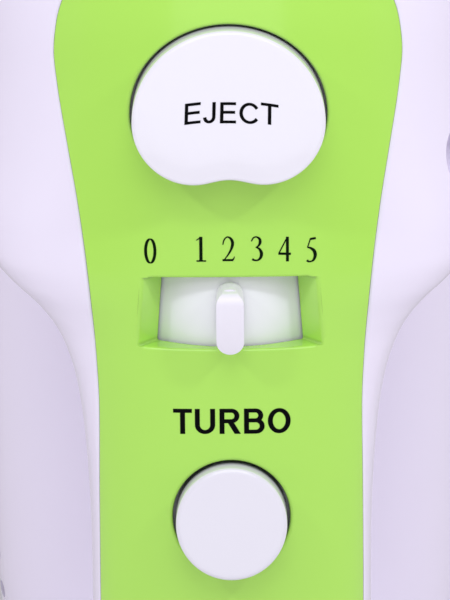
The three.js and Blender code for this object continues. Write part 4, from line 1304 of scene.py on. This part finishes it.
@dataclass
class Legend:
    """A word or a row of numbers, as thin raised ink.

    Attributes:
        name: Object name.
        height: Height of a capital, in millimetres.
        pen: Widths of an upright and of a level stroke.
        surface: Height of the surface under it at x, z.
        body: The body it rides on.
        ink: Its finish.
        bend: Where a point of the straight word goes.
        weight: Share by which the given widths of strokes are made heavier.
    """

    name: str
    height: float
    pen: Pair
    surface: Callable[[float, float], float]
    body: str
    ink: Finish
    bend: Callable[[float, float], Pair] = lambda x, z: (x, z)
    weight: float = 1.0
    pieces: list[Piece] = field(default_factory=list)

    def letter(self, name: str, w: float) -> list[Stroke]:
        """The strokes of a capital of a plain face, w wide."""
        h = self.height
        a, b = (width / 2 for width in self.pen)
        upright = line((a, 0), (a, h))
        match name:
            case "E":
                return [upright, line((a, b), (w, b)), line((a, h * 0.525), (w * 0.93, h * 0.525)),
                        line((a, h - b), (w * 0.98, h - b))]
            case "J":
                hook = arc((w / 2, h * 0.3), (w / 2 - a, h * 0.3 - b), 0, -178)
                return [line((w - a, h), *hook)]
            case "C":
                return [line(*arc((w * 0.54, h / 2), (w * 0.54 - a, h / 2 - b), 34, 326, 30))]
            case "T":
                return [line((0, h - b), (w, h - b)), line((w / 2, 0), (w / 2, h - b))]
            case "U":
                bend = arc((w / 2, h * 0.36), (w / 2 - a, h * 0.36 - b), 180, 360, 20)
                return [line((a, h), *bend, (w - a, h))]
            case "R":
                bar = h * 0.505
                bowl = arc((w * 0.56, (h - b + bar) / 2), (w * 0.38 - a, (h - b - bar) / 2), 90, -90)
                return [upright, line((a, h - b), *bowl, (a, bar)),
                        line((w * 0.49, bar), (w * 0.858, 0), width=w * 0.285, flat=True)]
            case "B":
                bar = h * 0.53
                upper = arc((w * 0.56, (h - b + bar) / 2), (w * 0.37 - a, (h - b - bar) / 2), 90, -90)
                lower = arc((w * 0.58, (bar + b) / 2), (w * 0.42 - a, (bar - b) / 2), 90, -90)
                return [upright, line((a, h - b), *upper, (a, bar)), line((a, bar), *lower, (a, b))]
        return [line(*arc((w / 2, h / 2), (w / 2 - a, h / 2 - b), 0, 360, 44)[:-1], closed=True)]

    def digit(self, name: str, w: float) -> list[Stroke]:
        """The strokes of a numeral of a book face, w wide."""
        h = self.height
        thin = self.pen[1]

        def scaled(*points: Point) -> Stroke:
            """A smooth stroke given in shares of the numeral's width and height."""
            return swell(*((x * w, z * h, width) for x, z, width in points))

        match name:
            case "1":
                return [line((w * 0.52, 0.02), (w * 0.52, h), width=0.38),
                        line((w * 0.1, 0.06), (w, 0.06), width=thin),
                        line((w * 0.34, 0.1), (w * 0.7, 0.1), width=0.2),
                        scaled((0.08, 0.86, 0.07), (0.28, 0.91, 0.12), (0.5, 0.98, 0.12))]
            case "2":
                return [scaled((0.05, 0.66, 0.12), (0.16, 0.86, 0.16), (0.43, 0.975, 0.16), (0.73, 0.89, 0.3),
                               (0.85, 0.7, 0.36), (0.7, 0.44, 0.26), (0.36, 0.17, 0.15), (0.1, 0.03, 0.1)),
                        line((w * 0.02, 0.12), (w * 0.9, 0.12), width=0.25),
                        scaled((0.86, 0.05, 0.2), (0.95, 0.1, 0.14), (1.0, 0.18, 0.05))]
            case "3":
                return [scaled((0.03, 0.8, 0.12), (0.18, 0.93, 0.17), (0.45, 0.98, 0.16), (0.74, 0.9, 0.29),
                               (0.8, 0.76, 0.34), (0.66, 0.62, 0.22), (0.42, 0.55, 0.12)),
                        scaled((0.4, 0.56, 0.1), (0.72, 0.49, 0.26), (0.91, 0.32, 0.38), (0.84, 0.14, 0.32),
                               (0.6, 0.035, 0.2), (0.3, 0.03, 0.2), (0.1, 0.075, 0.28))]
            case "4":
                return [line((w * 0.73, 0), (w * 0.73, h), width=0.34),
                        line((w * 0.72, h * 0.985), (w * 0.04, h * 0.335), width=0.14),
                        line((0, h * 0.325), (w, h * 0.305), width=0.27)]
            case "5":
                return [line((w * 0.4, h * 0.94), (w * 0.95, h * 0.97), width=0.26),
                        line((w * 0.42, h * 0.95), (w * 0.14, h * 0.6), width=0.13),
                        scaled((0.13, 0.6, 0.12), (0.42, 0.58, 0.24), (0.78, 0.46, 0.38), (0.89, 0.28, 0.38),
                               (0.74, 0.1, 0.27), (0.46, 0.03, 0.16), (0.22, 0.035, 0.2),
                               (0.09, 0.085, 0.28))]
        return [line(*arc((w / 2, h / 2), (w / 2 - 0.18, h / 2 - 0.06), 0, 360, 44)[:-1], closed=True)]

    def write(self, strokes: Sequence[Stroke], width: float, at: Pair) -> None:
        """Put one letter or numeral down, with the middle of its foot at a place."""
        for k, stroke in enumerate(strokes):
            points = tuple((at[0] + x - width / 2, at[1] + z, wide) for x, z, wide in stroke.points)
            self.pieces.append(self._draw(Stroke(points, stroke.closed, stroke.flat), 0.004 * k))

    def _draw(self, stroke: Stroke, lift: float) -> Piece:
        """Draw a stroke as a thin ribbon over the surface."""
        points = self._divided(stroke)
        upright, level = self.pen
        count = len(points)
        rings: list[Ring] = []
        for i, (x, z, wide) in enumerate(points):
            before = points[i - 1] if stroke.closed or i else points[i]
            after = points[(i + 1) % count] if stroke.closed or i + 1 < count else points[i]
            dx, dz = after[0] - before[0], after[1] - before[1]
            size = hypot(dx, dz) or 1.0
            nx, nz = (1.0, 0.0) if stroke.flat else (-dz / size, dx / size)
            half = (wide * self.weight or level + (upright - level) * abs(dz / size) ** 1.5) / 2
            ring = []
            for side, deep in ((1, -0.03 - lift), (-1, -0.03 - lift), (-1, 0.12), (1, 0.12)):
                px, pz = self.bend(x + side * nx * half, z + side * nz * half)
                ring.append((px, self.surface(px, pz) + deep, pz))
            rings.append(ring)
        if stroke.closed:
            rings.append(rings[0])
        ribbon = loft(self.name, rings, closed_ends=not stroke.closed)
        face_out(ribbon)
        return ribbon

    @staticmethod
    def _divided(stroke: Stroke) -> list[Point]:
        """Add points along long runs so that the ribbon follows the surface."""
        run = [*stroke.points, stroke.points[0]] if stroke.closed else list(stroke.points)
        made = [run[0]]
        for a, b in zip(run, run[1:]):
            parts = max(int(hypot(b[0] - a[0], b[1] - a[1]) / 0.5), 1)
            made += [tuple(p + (q - p) * t for p, q in zip(a, b)) for t in spread(0, 1, parts)[1:]]
        return made[:-1] if stroke.closed else made

    def settle(self) -> Piece:
        """Join the letters into one piece, dressed and in place."""
        piece = join_pieces(self.name, self.pieces)
        hand_over(piece, self.ink, self.body, "grommet_dark")
        return piece


@dataclass
class Legends:
    """The words and numbers beside the controls."""

    arch_radius: float = 43.0
    arch_middle: float = -0.55
    eject_foot: float = 153.45
    turbo_foot: float = 105.75
    digits_foot: float = 131.85

    def build(self, cap: EjectButton) -> list[Piece]:
        """Make every legend."""
        return [self._eject(cap), self._turbo(), self._digits()]

    def _eject(self, cap: EjectButton) -> Piece:
        """The word on the eject button, on a slight arch."""
        def face(x: float, z: float) -> float:
            """Height of the button's face."""
            return cap.face.height(z, min(hypot(x / 13.8, (z - 155) / 11), 1.0))

        def arched(x: float, z: float) -> Pair:
            """Lower the word's ends and lean its letters a little."""
            away = x - self.arch_middle
            return x + (0.03 - 0.002 * away) * (z - self.eject_foot), z - away * away / (2 * self.arch_radius)

        word = Legend("eject_legend", 2.95, (0.47, 0.38), face, "ejector", INK, arched)
        for name, width, x, drop in (("E", 2.28, -5.15, 0), ("J", 1.76, -2.77, 0.12),
                                     ("E", 2.28, -0.09, 0.18), ("C", 2.72, 2.88, 0.15),
                                     ("T", 2.5, 5.82, -0.05)):
            word.write(word.letter(name, width), width, (x, self.eject_foot - drop))
        return word.settle()

    def _turbo(self) -> Piece:
        """The word over the turbo button."""
        word = Legend("turbo_legend", 3.8, (0.71, 0.58), FORM.surface_y, "root", INK)
        for name, width, x in (("T", 2.74, -7.05), ("U", 2.95, -3.77), ("R", 3.08, -0.1), ("B", 3.0, 3.44),
                               ("O", 3.32, 7.08)):
            word.write(word.letter(name, width), width, (x, self.turbo_foot))
        return word.settle()

    def _digits(self) -> Piece:
        """The speed numbers over the selector."""
        row = Legend("speed_numbers", 3.66, (0.42, 0.16), FORM.surface_y, "root", DIGIT_INK, weight=1.2)
        for name, width, x in (("0", 1.71, -11.47), ("1", 1.54, -4.17), ("2", 1.76, -0.17), ("3", 1.63, 3.94),
                               ("4", 1.8, 7.96), ("5", 1.48, 11.82)):
            row.write(row.digit(name, width), width, (x, self.digits_foot - 0.4 * (x / 11.65) ** 2))
        return row.settle()


# ------------------------------------------------------------------ the other pieces
@dataclass
class Squeeze:
    """How a joint presses a coil spring together, towards the end that stays in place."""

    joint: str
    fixed_end: float
    length: float
    travel: float

    def apply(self, spring: Piece) -> None:
        """Give the spring its own mesh."""
        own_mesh(spring)


SQUEEZES: dict[str, Squeeze] = {
    "eject_spring": Squeeze("eject_press", 17.1, 12.7, 7.0),
    "turbo_spring": Squeeze("turbo_press", -54.3, 7.5, 2.5),
}


@dataclass
class RefinedNode:
    """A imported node's solid, with softened edges and its own finish."""

    node: str
    finish: Finish
    bevel: float = 0.15
    angle: float = 38.0

    def build(self) -> Piece:
        """Copy the node, soften its edges and put it in the node's place."""
        source = frame["nodes"][self.node]
        body = source["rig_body"]
        piece = duplicate(source, self.node + "_finished")
        for key in list(piece.keys()):
            del piece[key]
        piece.parent = None
        make_active(piece)
        bpy.ops.object.mode_set(mode="EDIT")
        bpy.ops.mesh.select_all(action="SELECT")
        bpy.ops.mesh.remove_doubles(threshold=2e-6)
        bpy.ops.mesh.dissolve_limited(angle_limit=radians(1.0))
        bpy.ops.object.mode_set(mode="OBJECT")
        if self.bevel:
            apply_modifier(piece, "BEVEL", width=self.bevel * MM, segments=2, limit_method="ANGLE",
                           angle_limit=radians(self.angle), harden_normals=False)
        smooth_shade(piece, self.angle)
        slot = next(part["material_slot"] for part in frame["record"]["subparts"]
                    if part["node"] == self.node)
        hand_over(piece, self.finish, body, slot, self.node)
        if self.node in SQUEEZES:
            SQUEEZES[self.node].apply(piece)
        return piece


# ------------------------------------------------------------------ stage, lights and camera
@dataclass
class Studio:
    """Plain pale floor, soft lamps and the camera."""

    target: Point = (-0.71, -68.6, 126.0)
    distance: float = 620.0
    elevation: float = 15.0
    roll: float = -0.45
    lens: float = 256.6
    side_colour: Point = (1.0, 0.96, 0.97)
    fill_colour: tuple[float, ...] = (1.0, 0.96, 0.99, 1.0)
    fill_strength: float = 0.46
    floor_colour: tuple[float, ...] = (0.82, 0.81, 0.83, 1.0)
    floor_width: float = 6000.0

    def build(self) -> None:
        """Make the stage, the lamps and the camera."""
        self._floor()
        self._lamp("small_lamp_left", (-280, -260, 400), (0, -50, 120), 30, 0.3)
        self._lamp("small_lamp_right", (280, -260, 400), (0, -50, 120), 30, 0.34)
        self._lamp("key_lamp", (0, -430, 520), (0, -50, 120), 360, 0.9, mirrored=True)
        self._lamp("front_lamp", (0, -760, 250), (0, -50, 120), 420, 0.25, mirrored=True)
        self._lamp("left_lamp", (-690, -260, 190), (0, -30, 100), 300, 0.78, self.side_colour)
        self._lamp("right_lamp", (690, -260, 190), (0, -30, 100), 300, 0.98, self.side_colour)
        world = bpy.data.worlds.new("studio_fill")
        world.use_nodes = True
        set_inputs(world.node_tree.nodes["Background"],
                   {"Color": self.fill_colour, "Strength": self.fill_strength})
        scene = bpy.context.scene
        scene.world = world
        scene.view_settings.view_transform = "Standard"
        self._camera()

    def _floor(self) -> None:
        """A large pale floor."""
        deselect_all()
        bpy.ops.mesh.primitive_plane_add(size=self.floor_width * MM, location=(0, 0, 0))
        floor = settle(bpy.context.object, "studio_floor")
        material = bpy.data.materials.new("studio_floor")
        material.use_nodes = True
        shader = material.node_tree.nodes["Principled BSDF"]
        set_inputs(shader, {"Base Color": self.floor_colour, "Roughness": 0.7})
        floor.data.materials.append(material)

    @staticmethod
    def _lamp(name: str, at: Point, aim: Point, size: float, power: float,
              colour: Point = (0.97, 0.99, 1.03), mirrored: bool = False) -> None:
        """A square soft lamp, with its power in watts, which glossy surfaces may mirror."""
        light = bpy.data.lights.new(name, "AREA")
        light.color = colour
        light.shape = "SQUARE"
        light.size = size * MM
        light.energy = power
        lamp = bpy.data.objects.new(name, light)
        bpy.context.scene.collection.objects.link(lamp)
        lamp.location = [v * MM for v in at]
        way = Vector(aim) - Vector(at)
        lamp.rotation_euler = way.to_track_quat("-Z", "Y").to_euler()
        lamp.visible_glossy = mirrored

    def _camera(self) -> None:
        """The camera, looking down at the controls."""
        lens = bpy.data.cameras.new("camera")
        camera = bpy.data.objects.new("camera", lens)
        bpy.context.scene.collection.objects.link(camera)
        lens.lens = self.lens
        lens.clip_start, lens.clip_end = 0.05, 20
        tilt = radians(self.elevation)
        back = Vector((0, -cos(tilt), sin(tilt)))
        camera.location = (Vector(self.target) + back * self.distance) * MM
        camera.rotation_euler = (-back).to_track_quat("-Z", "Y").to_euler()
        camera.rotation_euler.rotate_axis("Z", radians(self.roll))
        bpy.context.scene.camera = camera


def main() -> None:
    """Build the mixer's pieces in order, then the studio."""
    logging.basicConfig(level=logging.INFO, format="%(message)s")
    for name, node in frame["nodes"].items():
        node.data.materials.clear()
        node.data.materials.append(CAD_FINISHES.get(name, TURNED_STEEL).material())
    Housing().build()
    TopPanel().build()
    cap = EjectButton()
    cap.build()
    TurboButton().build()
    SpeedSelector().build()
    Legends().build(cap)
    for name in ("heel_pad", "cord_inlet", "socket_plate", "left_spindle", "right_spindle",
                 "left_beater", "right_beater", *SQUEEZES):
        RefinedNode(name, CAD_FINISHES[name]).build()
    Studio().build()


if __name__ == "__main__":
    main()
